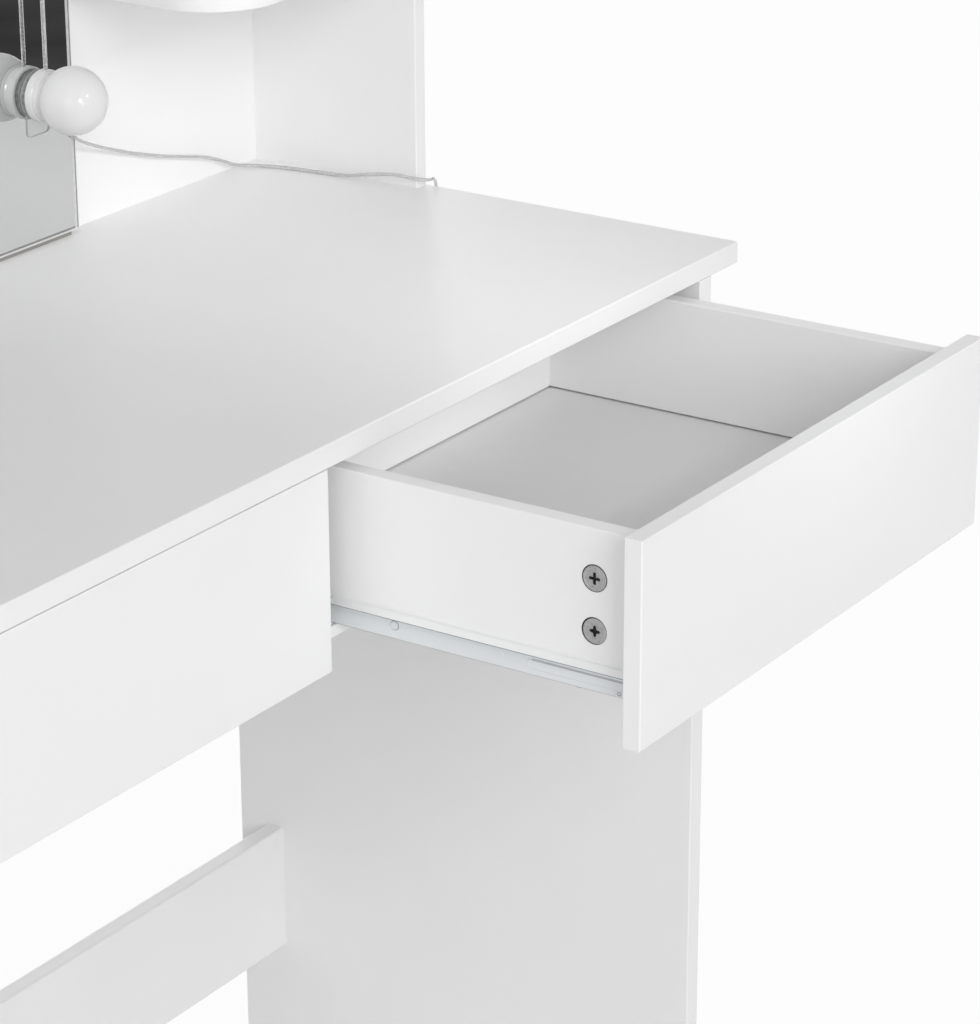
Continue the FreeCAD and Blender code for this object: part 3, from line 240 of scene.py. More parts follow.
class Nodes:
    """A material's node tree with short calls to add and link its nodes."""

    def __init__(self, name):
        self.material = bpy.data.materials.new(name)
        self.material.use_nodes = True
        self.tree = self.material.node_tree
        self.shader = self.tree.nodes["Principled BSDF"]
        self.output = self.tree.nodes["Material Output"]

    def add(self, kind, **values):
        """New node with its inputs or settings given by name."""
        node = self.tree.nodes.new(kind)
        for name, value in values.items():
            if name in node.inputs:
                node.inputs[name].default_value = value
            else:
                setattr(node, name, value)
        return node

    def link(self, source, target):
        """Link from an output socket to an input socket."""
        self.tree.links.new(source, target)

    def feed(self, value, name):
        """Link a value to an input of the shader."""
        self.link(value, self.shader.inputs[name])

    def set(self, **values):
        """Constants on the shader's inputs, with underscores for spaces."""
        for name, value in values.items():
            self.shader.inputs[name.replace("_", " ")].default_value = value

    def place(self):
        """Position in object space."""
        return self.add("ShaderNodeTexCoord").outputs["Object"]

    def axes(self):
        """The position's X, Y and Z sockets."""
        split = self.add("ShaderNodeSeparateXYZ")
        self.link(self.place(), split.inputs[0])
        return split.outputs

    def noise(self, scale, detail=2.0):
        """Noise in object space; returns its value socket."""
        noise = self.add("ShaderNodeTexNoise", Scale=scale, Detail=detail)
        self.link(self.place(), noise.inputs["Vector"])
        return noise.outputs["Fac"]

    def ramp(self, value, low, high, start=0.3, end=0.7):
        """Value between two limits, mapped to a range of numbers."""
        node = self.add("ShaderNodeMapRange")
        node.inputs["From Min"].default_value = start
        node.inputs["From Max"].default_value = end
        node.inputs["To Min"].default_value = low
        node.inputs["To Max"].default_value = high
        self.link(value, node.inputs["Value"])
        return node.outputs["Result"]

    def colours(self, value, low, high, start=0.3, end=0.7):
        """Colour ramp between two colours over a value."""
        node = self.add("ShaderNodeValToRGB")
        node.color_ramp.elements[0].position = start
        node.color_ramp.elements[0].color = (*low, 1)
        node.color_ramp.elements[1].position = end
        node.color_ramp.elements[1].color = (*high, 1)
        self.link(value, node.inputs["Fac"])
        return node.outputs["Color"]

    def blend(self, share, first, second):
        """Mix of two colour sockets."""
        node = self.add("ShaderNodeMix", data_type="RGBA")
        self.link(share, node.inputs[0])
        self.link(first, node.inputs[6])
        self.link(second, node.inputs[7])
        return node.outputs[2]

    def bump(self, value, strength, distance):
        """Fine relief from a height value."""
        node = self.add("ShaderNodeBump", Strength=strength, Distance=distance)
        self.link(value, node.inputs["Height"])
        self.feed(node.outputs["Normal"], "Normal")


def grey(level):
    """Neutral colour of a level."""
    return (level, level, level)


def coated(name, dark, light, rough, peel=0.05, peel_scale=700):
    """Smooth coated surface: faint tone patches, a fine orange peel and uneven gloss."""
    nodes = Nodes(name)
    nodes.feed(nodes.colours(nodes.noise(7, 3), dark, light), "Base Color")
    nodes.feed(nodes.ramp(nodes.noise(60, 3), *rough), "Roughness")
    nodes.bump(nodes.noise(peel_scale, 2), peel, 0.0004)
    return nodes


def painted_sheen_coat():
    """Mirror-bright metal copy of the rail coat for the top of a runner's flange: partly the coat's real
    gloss and partly a painted sheen, showing the white board beside it.
    """
    nodes = coated("rail_top_painted_sheen", (0.97, 0.975, 0.98), (0.98, 0.985, 0.99), (0.11, 0.17), 0.01, 300)
    nodes.set(Metallic=1.0)
    return nodes


def metal(name, dark, light, rough):
    """Plated metal with faint handling marks."""
    nodes = Nodes(name)
    nodes.feed(nodes.colours(nodes.noise(420, 4), dark, light), "Base Color")
    nodes.feed(nodes.ramp(nodes.noise(800, 3), *rough), "Roughness")
    nodes.set(Metallic=0.7)
    nodes.bump(nodes.noise(1500, 2), 0.06, 0.0002)
    return nodes


def clear_plastic(name, dark, light, through, rough):
    """Clear soft plastic, faintly cloudy."""
    nodes = Nodes(name)
    nodes.feed(nodes.colours(nodes.noise(500, 3), dark, light), "Base Color")
    nodes.feed(nodes.ramp(nodes.noise(300, 2), *rough), "Roughness")
    nodes.set(IOR=1.45, Transmission_Weight=through)
    return nodes


def film():
    """Clear film of the pull tabs: what is behind it shows, a little darker."""
    nodes = Nodes("film")
    nodes.feed(nodes.colours(nodes.noise(300, 3), grey(0.90), grey(0.95)), "Base Color")
    nodes.feed(nodes.ramp(nodes.noise(200, 2), 0.05, 0.12), "Roughness")
    nodes.set(Alpha=0.10)
    return nodes


def opal():
    """Glossy opal globe, milky under its skin."""
    nodes = coated("opal_globe", grey(0.715), grey(0.735), (0.10, 0.13), 0.01, 60)
    nodes.set(Subsurface_Weight=0.85, Subsurface_Scale=1.0, Subsurface_Radius=(0.024, 0.024, 0.024),
              Specular_IOR_Level=0.35)
    return nodes


def silvered():
    """Mirror face, with painted lines along its border for the light and shade on the ground edge seen
    through the glass, and a painted dark band along its foot for the dark reflection there.
    """
    nodes = Nodes("mirror")
    silver = nodes.colours(nodes.noise(3, 2), (0.735, 0.74, 0.742), (0.765, 0.77, 0.772))
    place = nodes.axes()
    across = nodes.add("ShaderNodeMath", operation="ABSOLUTE")
    nodes.link(place["X"], across.inputs[0])
    low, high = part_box("mirror_glass")
    side = high.x - MIRROR_BEVEL
    at_painted_border, at_painted_shade, at_painted_highlight = (
        nodes.ramp(across.outputs[0], 0, 1, *(side - inset for inset in line))
        for line in (PAINTED_PALE_BORDER, PAINTED_SHADE_BORDER, PAINTED_HIGHLIGHT_BORDER))
    foot = low.z + MIRROR_BEVEL
    at_painted_foot = nodes.ramp(place["Z"], 1, 0, *(foot + inset for inset in PAINTED_FOOT_REFLECTION))
    # Colours of the painted lines: the pale and white ones are painted reflection and highlight, the dark one
    # is painted shade on the border and a painted dark reflection along the foot.
    pale = nodes.colours(nodes.noise(260, 3), grey(0.56), grey(0.66))
    dark = nodes.colours(nodes.noise(260, 3), grey(0.20), grey(0.26))
    white = nodes.colours(nodes.noise(260, 3), grey(0.80), grey(0.88))
    border = nodes.blend(at_painted_highlight, nodes.blend(at_painted_shade, pale, dark), white)
    face = nodes.blend(at_painted_foot, silver, dark)
    nodes.feed(nodes.blend(at_painted_border, face, border), "Base Color")
    # The face is not metal where the lines are painted, so the painted colours show in place of the mirror.
    edge = nodes.add("ShaderNodeMath", operation="MAXIMUM")
    nodes.link(at_painted_border, edge.inputs[0])
    nodes.link(at_painted_foot, edge.inputs[1])
    nodes.feed(nodes.ramp(edge.outputs[0], 1, 0, 0, 1), "Metallic")
    nodes.feed(nodes.ramp(nodes.noise(40, 4), 0.0, 0.015), "Roughness")
    return nodes


def glass_edge(name, dark, light, rough):
    """Ground bevel or edge of glass or film, as a plain colour; the mirror's bevel gets a bright one as a
    painted reflection.
    """
    nodes = Nodes(name)
    nodes.feed(nodes.colours(nodes.noise(300, 3), dark, light), "Base Color")
    nodes.feed(nodes.ramp(nodes.noise(600, 3), *rough), "Roughness")
    return nodes


def foam():
    """Grey foam tape with a paler adhesive face next to the mirror."""
    nodes = Nodes("pad")
    body = nodes.colours(nodes.noise(420, 5), (0.20, 0.205, 0.205), (0.36, 0.365, 0.365), 0.35, 0.65)
    skin = nodes.colours(nodes.noise(300, 3), grey(0.34), grey(0.42))
    near = nodes.ramp(nodes.axes()["Y"], 0, 1, *(MIRROR_FACE - depth for depth in PAD_SKIN))
    nodes.feed(nodes.blend(near, body, skin), "Base Color")
    nodes.set(Roughness=0.8)
    nodes.bump(nodes.noise(1100, 3), 0.4, 0.0005)
    return nodes


# Every material by its name: boards, mirror, fittings, lamps and the small pieces, with dark and bright
# copies that paint light and shade.
MATERIALS = {
    "white_board": coated("white_board", grey(0.885), grey(0.905), (0.34, 0.46)).material,
    "white_hardboard": coated(
        "white_hardboard", grey(0.915), grey(0.93), (0.38, 0.52), 0.08, 500).material,
    "drawer_floor": coated("drawer_floor", grey(0.765), grey(0.79), (0.38, 0.52), 0.08, 500).material,
    # The board behind the mirror is dark partly as its own tone and partly as painted shade for the gap under
    # the mirror.
    "backing_board": coated(
        "backing_board", (0.25, 0.24, 0.23), (0.33, 0.32, 0.30), (0.6, 0.75), 0.2, 900).material,
    "mirror": silvered().material,
    "bevel_painted_reflection": glass_edge("bevel_painted_reflection", grey(0.93), grey(0.97), (0.06, 0.14)).material,
    "glass_edge": glass_edge(
        "glass_edge", (0.52, 0.57, 0.56), (0.66, 0.70, 0.69), (0.15, 0.35)).material,
    "zinc": metal("zinc", grey(0.42), grey(0.53), (0.26, 0.42)).material,
    # Near-black copy painted as shade in the cam recesses and round the cam heads.
    "painted_recess_shade": coated("painted_recess_shade", grey(0.010), grey(0.022), (0.5, 0.7), 0.2, 900).material,
    "coated_rail": coated(
        "coated_rail", (0.76, 0.785, 0.80), (0.79, 0.815, 0.83), (0.30, 0.40), 0.02, 300).material,
    "rail_top_painted_sheen": painted_sheen_coat().material,
    "rail_shade": coated(
        "rail_shade", (0.46, 0.48, 0.50), (0.54, 0.56, 0.58), (0.3, 0.4), 0.02, 300).material,
    "rail_painted_shade": coated("rail_painted_shade", (0.22, 0.24, 0.25), (0.32, 0.34, 0.35), (0.4, 0.5), 0.02, 300).material,
    "nylon": coated("nylon", (0.74, 0.74, 0.71), (0.79, 0.79, 0.77), (0.4, 0.55)).material,
    "opal_globe": opal().material,
    "lamp_collar": coated("lamp_collar", grey(0.70), grey(0.73), (0.12, 0.2), 0.02, 120).material,
    "pad": foam().material,
    "clear_plastic": clear_plastic(
        "clear_plastic", grey(0.60), grey(0.78), 0.55, (0.06, 0.14)).material,
    "sleeve": clear_plastic("sleeve", grey(0.86), grey(0.95), 0.9, (0.03, 0.08)).material,
    "film": film().material,
    "film_edge": glass_edge("film_edge", grey(0.40), grey(0.50), (0.3, 0.5)).material,
    "strand": metal("strand", grey(0.55), grey(0.75), (0.25, 0.4)).material,
    "glide": coated("glide", grey(0.62), grey(0.68), (0.45, 0.6)).material,
    "tie": coated("tie", grey(0.012), grey(0.02), (0.5, 0.65), 0.2, 900).material,
    "plug": coated("plug", grey(0.78), grey(0.82), (0.3, 0.42), 0.1, 900).material,
}
for name, node in NODES.items():
    node.data.materials.clear()
    node.data.materials.append(MATERIALS[SLOT_OF[name]])


def dress_mirror():
    """Silvered front, a bevel painted bright as a painted reflection of the tabletop, and greenish ground
    edges on the mirror glass.
    """
    mesh = NODES["mirror_glass"].data
    for name in ("bevel_painted_reflection", "glass_edge"):
        mesh.materials.append(MATERIALS[name])
    for face in mesh.polygons:
        forward = -face.normal.y
        face.material_index = 0 if forward > 0.95 else 1 if forward > 0.3 else 2


def show(name, data, body, slot, *nodes):
    """Add a new piece to the scene, on its body and in place of CAD nodes."""
    item = bpy.data.objects.new(name, data)
    bpy.context.scene.collection.objects.link(item)
    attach(item, body)
    if nodes:
        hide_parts(*nodes)
    return item


def mesh_from(name, bm, materials, smooth_angle=40):
    """Finish a mesh: outward normals, smooth shading across soft edges."""
    bmesh.ops.recalc_face_normals(bm, faces=bm.faces[:])
    for face in bm.faces:
        face.smooth = True
    limit = math.radians(smooth_angle)
    for edge in bm.edges:
        if edge.is_manifold and edge.calc_face_angle(0) > limit:
            edge.smooth = False
    mesh = bpy.data.meshes.new(name)
    bm.to_mesh(mesh)
    bm.free()
    for material in materials:
        mesh.materials.append(MATERIALS[material])
    return mesh


def arc_points(bm, place, radius, height, angles):
    """New vertices at some angles of a circle that is set in the scene by a matrix."""
    return [bm.verts.new(place @ Vector((radius * math.cos(angle), radius * math.sin(angle), height)))
            for angle in angles]


def full_turn(count):
    """Evenly spaced angles once round."""
    return [2 * math.pi * step / count for step in range(count)]


def turn(bm, section, place, count=64, material=0):
    """Turned surface: radius and height pairs, set in the scene by a matrix."""
    rings = []
    for radius, height in section:
        if radius == 0:
            rings.append([bm.verts.new(place @ Vector((0, 0, height)))])
        else:
            rings.append(arc_points(bm, place, radius, height, full_turn(count)))
    for low, high in zip(rings, rings[1:]):
        for step in range(count):
            after = (step + 1) % count
            if len(low) == 1:
                corners = (low[0], high[step], high[after])
            elif len(high) == 1:
                corners = (low[step], low[after], high[0])
            else:
                corners = (low[step], low[after], high[after], high[step])
            bm.faces.new(corners).material_index = material


def wall_between(bm, low, high, material):
    """Band of faces between two closed rings of vertices."""
    count = len(low)
    for step in range(count):
        after = (step + 1) % count
        bm.faces.new((low[step], low[after], high[after], high[step])).material_index = material


def lamp_places():
    """Each lamp's own frame: X to the right, Y up, Z out of the mirror."""
    turn_out = Matrix(((1, 0, 0), (0, 0, -1), (0, 1, 0))).to_4x4()
    places = []
    for side in (1, -1):
        for number in range(LAMPS_PER_SIDE):
            centre = (side * LAMP_X, MIRROR_FACE, LAMP_FIRST + number * LAMP_SPACING)
            places.append(Matrix.Translation(centre) @ turn_out)
    return places


def globe_section():
    """From the seat on the collar round to the front of the globe."""
    start = math.asin((GLOBE_REACH - GLOBE_SEAT) / GLOBE_RADIUS)
    section = [(0, GLOBE_SEAT), (GLOBE_SEAT_RADIUS, GLOBE_SEAT)]
    for step in range(GLOBE_STEPS):
        angle = -start + (math.pi / 2 + start) * step / GLOBE_STEPS
        section.append((GLOBE_RADIUS * math.cos(angle), GLOBE_REACH + GLOBE_RADIUS * math.sin(angle)))
    return section + [(0, GLOBE_REACH + GLOBE_RADIUS)]


def tab(bm, place):
    """Pull tab: a thin plate with rounded lower corners, its top tucked under the pad."""
    half = TAB_WIDTH / 2
    top = -TAB_TOP + TAB_TUCK
    centre_x = half - TAB_CORNER
    centre_y = -TAB_TOP - TAB_LENGTH + TAB_CORNER
    outline = [(half, top)]
    for middle_x, first in ((centre_x, 0), (-centre_x, -90)):
        for step in range(TAB_CORNER_STEPS + 1):
            angle = math.radians(first - 90 * step / TAB_CORNER_STEPS)
            outline.append((middle_x + TAB_CORNER * math.cos(angle), centre_y + TAB_CORNER * math.sin(angle)))
    outline.append((-half, top))
    rings = [[bm.verts.new(place @ Vector((x, y, z))) for x, y in outline]
             for z in (TAB_LIFT, TAB_THICKNESS)]
    for ring in rings:
        bm.faces.new(ring)
    wall_between(bm, *rings, 1)


def add_lamps():
    """Globes, collars, pads and pull tabs of all the lamps."""
    sections = {
        "globes": (globe_section(), "opal_globe", "lamp_globes"),
        "collars": (COLLAR_SECTION, "lamp_collar", "lamp_collars"),
        "pads": (PAD_SECTION, "pad", "lamp_pads"),
    }
    for name, (section, slot, node) in sections.items():
        bm = bmesh.new()
        for place in lamp_places():
            turn(bm, section, place)
        show(name, mesh_from(name, bm, [slot]), "carcass", slot, node)
    bm = bmesh.new()
    for place in lamp_places():
        tab(bm, place)
    show("tabs", mesh_from("tabs", bm, ["film", "film_edge"]), "carcass", "clear_plastic", "lamp_tabs")


def wire_lines():
    """Centre lines of the wires: up each column of lamps and across the top."""
    y = MIRROR_FACE - WIRE_REACH
    lines = []
    for side in (1, -1):
        for number in range(LAMPS_PER_SIDE - 1):
            low = LAMP_FIRST + number * LAMP_SPACING + WIRE_CLEAR
            high = LAMP_FIRST + (number + 1) * LAMP_SPACING - WIRE_CLEAR
            heights = [low + (high - low) * step / WIRE_STEPS for step in range(WIRE_STEPS + 1)]
            lines.append([Vector((side * LAMP_X, y, height)) for height in heights])
    top = LAMP_FIRST + (LAMPS_PER_SIDE - 1) * LAMP_SPACING
    reach = LAMP_X - WIRE_CLEAR
    shares = [1 - 2 * step / SAG_STEPS for step in range(SAG_STEPS + 1)]
    lines.append([Vector((reach * share, y, top - WIRE_SAG * (1 - share * share))) for share in shares])
    return lines


def tube_curve(name, lines, radius, material):
    """Round tubes along smooth lines."""
    data = bpy.data.curves.new(name, "CURVE")
    data.dimensions = "3D"
    data.bevel_depth = radius
    data.bevel_resolution = 4
    data.resolution_u = 8
    data.use_fill_caps = True
    for line in lines:
        spline = data.splines.new("NURBS")
        spline.points.add(len(line) - 1)
        for point, place in zip(spline.points, line):
            point.co = (*place, 1)
        spline.order_u = 3
        spline.use_endpoint_u = True
    data.materials.append(MATERIALS[material])
    return data


def twisted(line, phase):
    """A strand's line, wound round the centre line of its wire."""
    wound = []
    total = sum((b - a).length for a, b in zip(line, line[1:]))
    count = int(total / STRAND_PITCH * STRAND_STEPS)
    for step in range(count + 1):
        spot = step / count * (len(line) - 1)
        index = min(int(spot), len(line) - 2)
        centre = line[index].lerp(line[index + 1], spot - index)
        along = (line[index + 1] - line[index]).normalized()
        across = along.cross(Vector((0, 1, 0))).normalized()
        angle = phase + 2 * math.pi * step / STRAND_STEPS
        aside = across * math.cos(angle) + along.cross(across) * math.sin(angle)
        wound.append(centre + aside * STRAND_OFFSET)
    return wound


def add_wires():
    """Clear sleeves from lamp to lamp, with two twisted strands inside."""
    lines = wire_lines()
    sleeves = tube_curve("wire_sleeves", lines, WIRE_RADIUS, "sleeve")
    show("wire_sleeves", sleeves, "carcass", "clear_plastic", "lamp_wires")
    wound = [twisted(line, phase) for line in lines for phase in (0, math.pi)]
    strands = tube_curve("wire_strands", wound, STRAND_RADIUS, "strand")
    show("wire_strands", strands, "carcass", "zinc")


def cross_outline():
    """Driver cross with blunt ends."""
    shoulder = CROSS_ARM * CROSS_SHOULDER
    nose = CROSS_HALF * CROSS_NOSE
    arm = [(CROSS_HALF, CROSS_HALF), (shoulder, CROSS_HALF), (CROSS_ARM, nose), (CROSS_ARM, -nose),
           (shoulder, -CROSS_HALF)]
    points = []
    for quarter in range(4):
        spin = Matrix.Rotation(quarter * math.pi / 2, 2)
        points += [spin @ Vector(point) for point in arm]
    return sorted(points, key=lambda point: math.atan2(point.y, point.x))


def star_outline():
    """Driver star with four hollow sides."""
    points = []
    for angle in full_turn(STAR_STEPS):
        radius = STAR_INNER + STAR_REACH * abs(math.cos(2 * angle)) ** STAR_HOLLOW
        points.append(Vector((radius * math.cos(angle), radius * math.sin(angle))))
    return points


def cam_head(bm, hole_place, shift, outline, ridge):
    """Head of a cam lock off the middle of its hole: rim, driver recess and, if asked, a raised ridge; the
    ring round it and the recess are painted black as shade.
    """
    # Black ring painted as the shade of the gap round the head.
    turn(bm, CAM_SHADE_RING_SECTION, hole_place, CAM_STEPS, 1)
    place = hole_place @ Matrix.Translation((*shift, 0))
    turn(bm, CAM_SECTION, place, CAM_STEPS)
    radius, level = CAM_SECTION[0]
    deep = level - RECESS_DEPTH
    rim = arc_points(bm, place, radius, level, full_turn(CAM_STEPS))
    hole = [bm.verts.new(place @ Vector((*point, level))) for point in outline]
    floor = [bm.verts.new(place @ Vector((*(point * RECESS_TAPER), deep))) for point in outline]
    edges = [bm.edges.new((ring[step], ring[(step + 1) % len(ring)]))
             for ring in (rim, hole) for step in range(len(ring))]
    bmesh.ops.triangle_fill(bm, edges=edges, use_beauty=True)
    # Walls and floor of the recess painted black as shade.
    wall_between(bm, hole, floor, 1)
    bm.faces.new(floor).material_index = 1
    if ridge:
        angles = [math.radians(RIDGE_START + RIDGE_SWEEP * step / RIDGE_STEPS)
                  for step in range(RIDGE_STEPS + 1)]
        rows = [arc_points(bm, place, radius, level + rise, angles) for radius, rise in RIDGE_SECTION]
        for low, high in zip(rows, rows[1:]):
            for step in range(RIDGE_STEPS):
                bm.faces.new((low[step], low[step + 1], high[step + 1], high[step]))


def outer_face(side, which):
    """A drawer side's face away from the drawer: its X, and the way that it looks along X."""
    low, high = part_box(f"{side}_drawer_{which}_side")
    outward = -1 if (side == "right") == (which == "inner") else 1
    return (low.x if outward < 0 else high.x), outward


def add_cams():
    """Heads of the cam locks in the drawer sides."""
    half_turn = Matrix.Rotation(math.pi, 4, "Z")
    heads = list(zip(CAM_HEIGHTS, CAM_SHIFTS, (cross_outline(), star_outline()), (True, False)))
    for side in ("left", "right"):
        bm = bmesh.new()
        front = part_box(f"{side}_drawer_front")[0].y
        for which in ("inner", "outer"):
            face, outward = outer_face(side, which)
            axes = Matrix(((0, 0, outward), (-outward, 0, 0), (0, -1, 0))).to_4x4()
            for height, shift, outline, ridge in heads:
                centre = Matrix.Translation((face, front + CAM_FROM_FRONT, height))
                cam_head(bm, centre @ axes @ half_turn, shift, outline, ridge)
        name = f"{side}_cam_heads"
        mesh = mesh_from(name, bm, ["zinc", "painted_recess_shade"], 30)
        show(name, mesh, f"{side}_drawer", "zinc", f"{side}_drawer_cam_locks")


def bend(corner, before, after, radius):
    """Rounded corner of a sheet section, from one leg of it to the other."""
    corner = Vector(corner)
    back = (Vector(before) - corner).normalized() * radius
    on = (Vector(after) - corner).normalized() * radius
    angles = [math.pi / 2 * step / BEND_STEPS for step in range(BEND_STEPS + 1)]
    return [corner + back * (1 - math.sin(angle)) + on * (1 - math.cos(angle)) for angle in angles]


def runner_section(wall, web, rim, lip, low, board):
    """Closed section of a bent sheet runner: lip under the board, web beside it, flange on top."""
    top = FLANGE_TOP
    under = top - SHEET
    blunt = 0.25 * SHEET
    return [
        Vector((lip, low)),
        *bend((web, low), (lip, low), (web, under), 1.4 * SHEET),
        *bend((web, under), (web, low), (rim, under), 0.8 * SHEET),
        Vector((rim, under + blunt)),
        Vector((rim, top - blunt)),
        *bend((wall, top), (rim, top), (wall, board), 0.7 * SHEET),
        Vector((wall, board)),
        Vector((lip, board)),
    ]


def pressed_bead(bm, web, outward, front):
    """Flat bead pressed out of a runner's web, with a round rear end and its upper slope in shade."""
    start = front + BEAD_START
    end = front + BEAD_END
    half = (BEAD_HIGH - BEAD_LOW) / 2
    middle = (BEAD_HIGH + BEAD_LOW) / 2
    plan = [(start, -half), (end - half, -half)]
    for step in range(1, BEAD_STEPS):
        angle = math.pi * step / BEAD_STEPS
        plan.append((end - half + half * math.sin(angle), -half * math.cos(angle)))
    plan += [(end - half, half), (start, half)]
    face = web + outward * BEAD_RISE
    foot = [bm.verts.new((web, y, middle + z)) for y, z in plan]
    brow = [bm.verts.new((face, min(y, end - BEAD_SLOPE), middle + z * BEAD_FLAT)) for y, z in plan]
    slopes = [bm.faces.new((foot[step], foot[step + 1], brow[step + 1], brow[step]))
              for step in range(len(plan) - 1)]
    # The upper slope takes a darker copy of the coat: painted shade.
    slopes[-1].material_index = SHADE
    bm.faces.new(brow)


def paint_runner_sheen_and_shade(bm, rim, low):
    """Painted sheen on the flange top, and painted shade lines along the rim and the lower bend."""
    bm.normal_update()
    for face in bm.faces:
        heights = [corner.co.z for corner in face.verts]
        if min(heights) > FLANGE_TOP - 0.3 * SHEET:
            face.material_index = PAINTED_SHEEN
        elif max(abs(corner.co.x - rim) for corner in face.verts) < 0.1 * SHEET:
            face.material_index = PAINTED_DARK_LINE
        elif max(heights) < low + 1.5 * SHEET and 0.55 < abs(face.normal.z) < 0.95:
            face.material_index = PAINTED_DARK_LINE


def add_runner(side, which):
    """Drawer runner: bent sheet with a rounded flange end, a bead, a boss, a hole and the roller's pin."""
    node = f"{side}_drawer_{which}_runner"
    low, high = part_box(node)
    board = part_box(f"{side}_drawer_{which}_side")[0].z
    wall, outward = outer_face(side, which)
    web = wall + outward * SHEET
    rim = low.x if outward < 0 else high.x
    lip = high.x if outward < 0 else low.x
    angles = [math.pi / 2 * step / FLANGE_STEPS for step in range(FLANGE_STEPS + 1)]
    rows = [(low.y + FLANGE_ROUND * (1 - math.cos(angle)), FLANGE_ROUND * (1 - math.sin(angle)))
            for angle in angles]
    bm = bmesh.new()
    rings = []
    for y, trim in rows + [(high.y, 0)]:
        section = runner_section(wall, web, rim - outward * trim, lip, low.z, board)
        rings.append([bm.verts.new((point.x, y, point.y)) for point in section])
    for near, far in zip(rings, rings[1:]):
        wall_between(bm, near, far, PLAIN)
    bm.faces.new(rings[0])
    bm.faces.new(rings[-1])
    pressed_bead(bm, web, outward, low.y)

    out = Matrix(((0, 0, outward), (1, 0, 0), (0, 1, 0))).to_4x4()
    axis = (FLANGE_TOP + low.z) / 2
    turn(bm, PIN_SECTION, Matrix.Translation((web, high.y - PIN_FROM_REAR, axis)) @ out, 32)
    # The ring round the boss and the hole take the colour of the painted shade lines.
    features = (
        (BOSS_RING_SECTION, BOSS_PLACE, 32, PAINTED_DARK_LINE),
        (BOSS_SECTION, BOSS_PLACE, 32, PLAIN),
        (HOLE_SECTION, HOLE_PLACE, 24, PAINTED_DARK_LINE),
        (DIMPLE_SECTION, DIMPLE_PLACE, 24, PLAIN),
    )
    for section, (along, height), count, material in features:
        turn(bm, section, Matrix.Translation((web, low.y + along, height)) @ out, count, material)
    paint_runner_sheen_and_shade(bm, rim, low.z)
    name = f"{side}_{which}_rail"
    show(name, mesh_from(name, bm, RAIL_MATERIALS, 35), f"{side}_drawer", "coated_rail", node)


def add_runners():
    """The two runners of each drawer."""
    for side in ("left", "right"):
        for which in ("inner", "outer"):
            add_runner(side, which)


def coil_points():
    """Control points of the coil: in on the floor, half a turn up, and out on top."""
    points = []
    steps = round((2 * COIL_TURNS + COIL_CLIMB) * COIL_POINTS)
    swell = 1 / math.cos(math.pi / COIL_POINTS)
    for step in range(steps + 1):
        turns = step / COIL_POINTS
        climb = min(max((turns - COIL_TURNS) / COIL_CLIMB, 0), 1)
        out = max(COIL_TURNS - turns, 0) + max(turns - COIL_TURNS - COIL_CLIMB, 0)
        radius = (COIL_INNER + COIL_PITCH * out) * (swell if step else 1)
        angle = 2 * math.pi * turns
        lift = COIL_RISE * climb * climb * (3 - 2 * climb)
        points.append(COIL_CENTRE + Vector((radius * math.cos(angle), radius * math.sin(angle), lift)))
    last = points[-1]
    for share in (0.5, 1):
        points.append(Vector((last.x, COIL_CENTRE.y - share * PLUG_LEAD, last.z)))
    return points


def add_lead():
    """The lead with its coil, from the lamp's collar to the plug."""
    route = [Vector(point) for point in LEAD_ROUTE]
    curve = tube_curve("lead", [route + coil_points()], LEAD_DIAMETER / 2, "clear_plastic")
    lead = show("lead", curve, "carcass", "clear_plastic", "light_lead", "lead_coil")


def seen_directly(tree):
    """1 where the camera, a glossy face or clear plastic looks, and 0 for light from all round."""
    path = tree.nodes.new("ShaderNodeLightPath")
    seen = path.outputs["Is Camera Ray"]
    for kind in ("Is Glossy Ray", "Is Transmission Ray"):
        either = tree.nodes.new("ShaderNodeMath")
        either.operation = "MAXIMUM"
        tree.links.new(seen, either.inputs[0])
        tree.links.new(path.outputs[kind], either.inputs[1])
        seen = either.outputs[0]
    return seen


def floor_material():
    """Pale floor that looks evenly white and keeps a soft shadow."""
    nodes = Nodes("floor")
    nodes.feed(nodes.colours(nodes.noise(2, 2), grey(FLOOR_TONE), grey(FLOOR_TONE * 1.01)), "Base Color")
    nodes.set(Roughness=0.9)
    emission = nodes.add("ShaderNodeEmission", Strength=1.0)
    share = nodes.add("ShaderNodeMath", operation="MULTIPLY")
    nodes.link(seen_directly(nodes.tree), share.inputs[0])
    share.inputs[1].default_value = FLOOR_GLOW
    mix = nodes.add("ShaderNodeMixShader")
    nodes.link(share.outputs[0], mix.inputs[0])
    nodes.link(nodes.shader.outputs[0], mix.inputs[1])
    nodes.link(emission.outputs[0], mix.inputs[2])
    nodes.link(mix.outputs[0], nodes.output.inputs["Surface"])
    return nodes.material


def dark_material():
    """Dark surroundings as the mirror shows them, with faint patches."""
    nodes = Nodes("dark_card")
    emission = nodes.add("ShaderNodeEmission", Strength=1.0)
    nodes.link(nodes.colours(nodes.noise(2.2, 3), grey(0.035), grey(0.085)), emission.inputs["Color"])
    nodes.link(emission.outputs[0], nodes.output.inputs["Surface"])
    return nodes.material


def plane(name, low, high, level, material):
    """Level stage card between two corners."""
    corners = [(low[0], low[1], level), (high[0], low[1], level), (high[0], high[1], level),
               (low[0], high[1], level)]
    mesh = bpy.data.meshes.new(name)
    mesh.from_pydata(corners, [], [(0, 1, 2, 3)])
    mesh.materials.append(material)
    card = bpy.data.objects.new(name, mesh)
    bpy.context.scene.collection.objects.link(card)
    return card


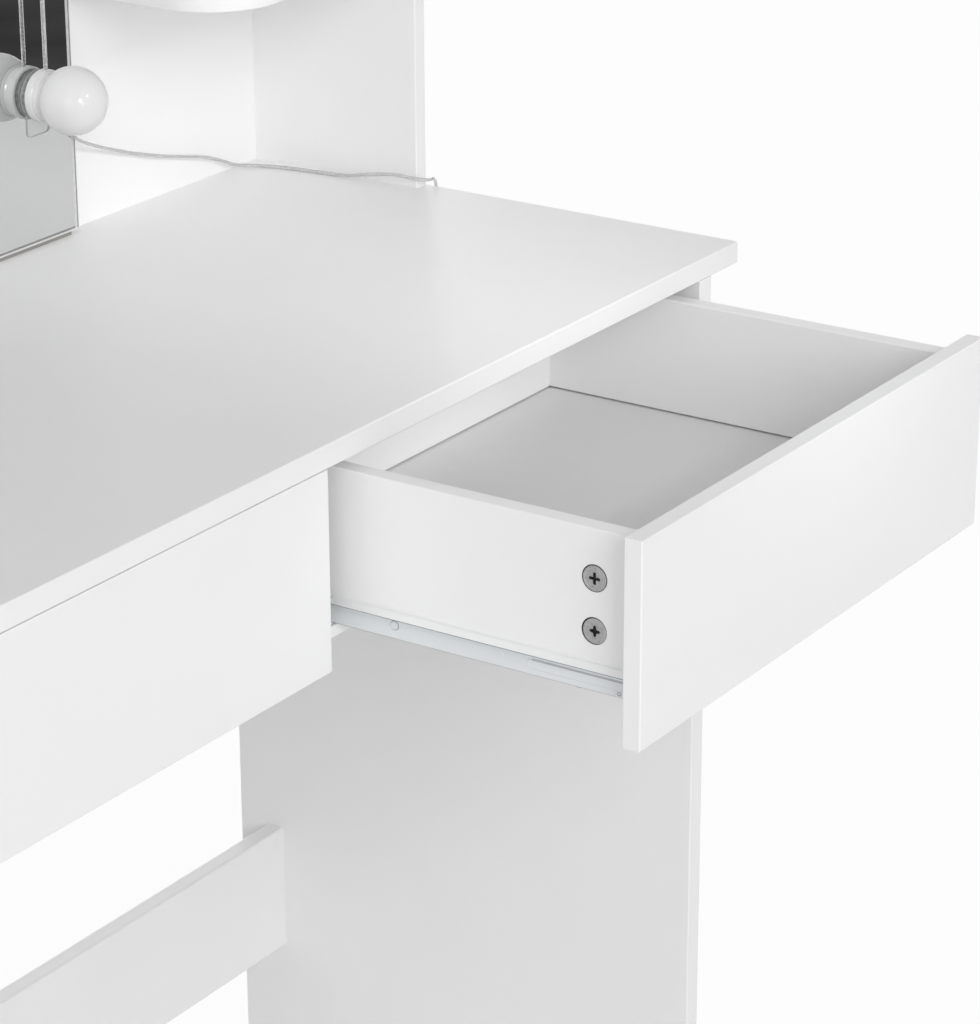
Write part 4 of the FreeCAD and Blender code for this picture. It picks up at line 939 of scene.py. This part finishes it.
def add_stage():
    """Pale floor, and a dark card that only the mirror and other glossy faces see."""
    plane("floor", (-FLOOR_HALF, -FLOOR_HALF), (FLOOR_HALF, FLOOR_HALF), FLOOR_LEVEL, floor_material())
    card = plane("dark_card", CARD_LOW, CARD_HIGH, CARD_LEVEL, dark_material())
    card.visible_camera = False
    card.visible_diffuse = False
    card.visible_transmission = False
    card.visible_shadow = False


def add_world():
    """White surroundings for what looks at them, and a plain level of light from all round."""
    world = bpy.data.worlds.new("surroundings")
    world.use_nodes = True
    tree = world.node_tree
    background = tree.nodes["Background"]
    background.inputs["Color"].default_value = (1, 1, 1, 1)
    level = tree.nodes.new("ShaderNodeMapRange")
    level.inputs["To Min"].default_value = AMBIENT
    level.inputs["To Max"].default_value = 1.0
    tree.links.new(seen_directly(tree), level.inputs["Value"])
    tree.links.new(level.outputs["Result"], background.inputs["Strength"])
    bpy.context.scene.world = world


def area_light(name, place, target, size, energy, spread):
    """Square soft box aimed at a point, with a grid that narrows its beam."""
    data = bpy.data.lights.new(name, "AREA")
    data.size = size
    data.energy = energy
    data.spread = math.radians(spread)
    light = bpy.data.objects.new(name, data)
    aim = Vector(target) - Vector(place)
    light.matrix_world = Matrix.Translation(place) @ aim.to_track_quat("-Z", "Y").to_matrix().to_4x4()
    bpy.context.scene.collection.objects.link(light)
    return light


def add_lights():
    """Soft boxes round the table, beams into drawer and hutch, and two lights that only reach the lamps."""
    lights = {name: area_light(name, *values) for name, values in LIGHTS.items()}
    lights["key"].visible_glossy = False
    glint = lights["glint"]
    glint.visible_diffuse = False
    thrown = lights["thrown_back"]
    thrown.visible_camera = False
    thrown.visible_glossy = False
    shiny = bpy.data.collections.new("shiny")
    for name in ("globes", "collars", "wire_sleeves", "lead"):
        shiny.objects.link(bpy.data.objects[name])
    for light in (glint, thrown):
        light.light_linking.receiver_collection = shiny
    thrown.light_linking.blocker_collection = shiny


add_camera()
add_lead()
dress_mirror()
add_lamps()
add_wires()
add_cams()
add_runners()
add_stage()
add_world()
add_lights()
bpy.context.scene.view_settings.view_transform = "Standard"
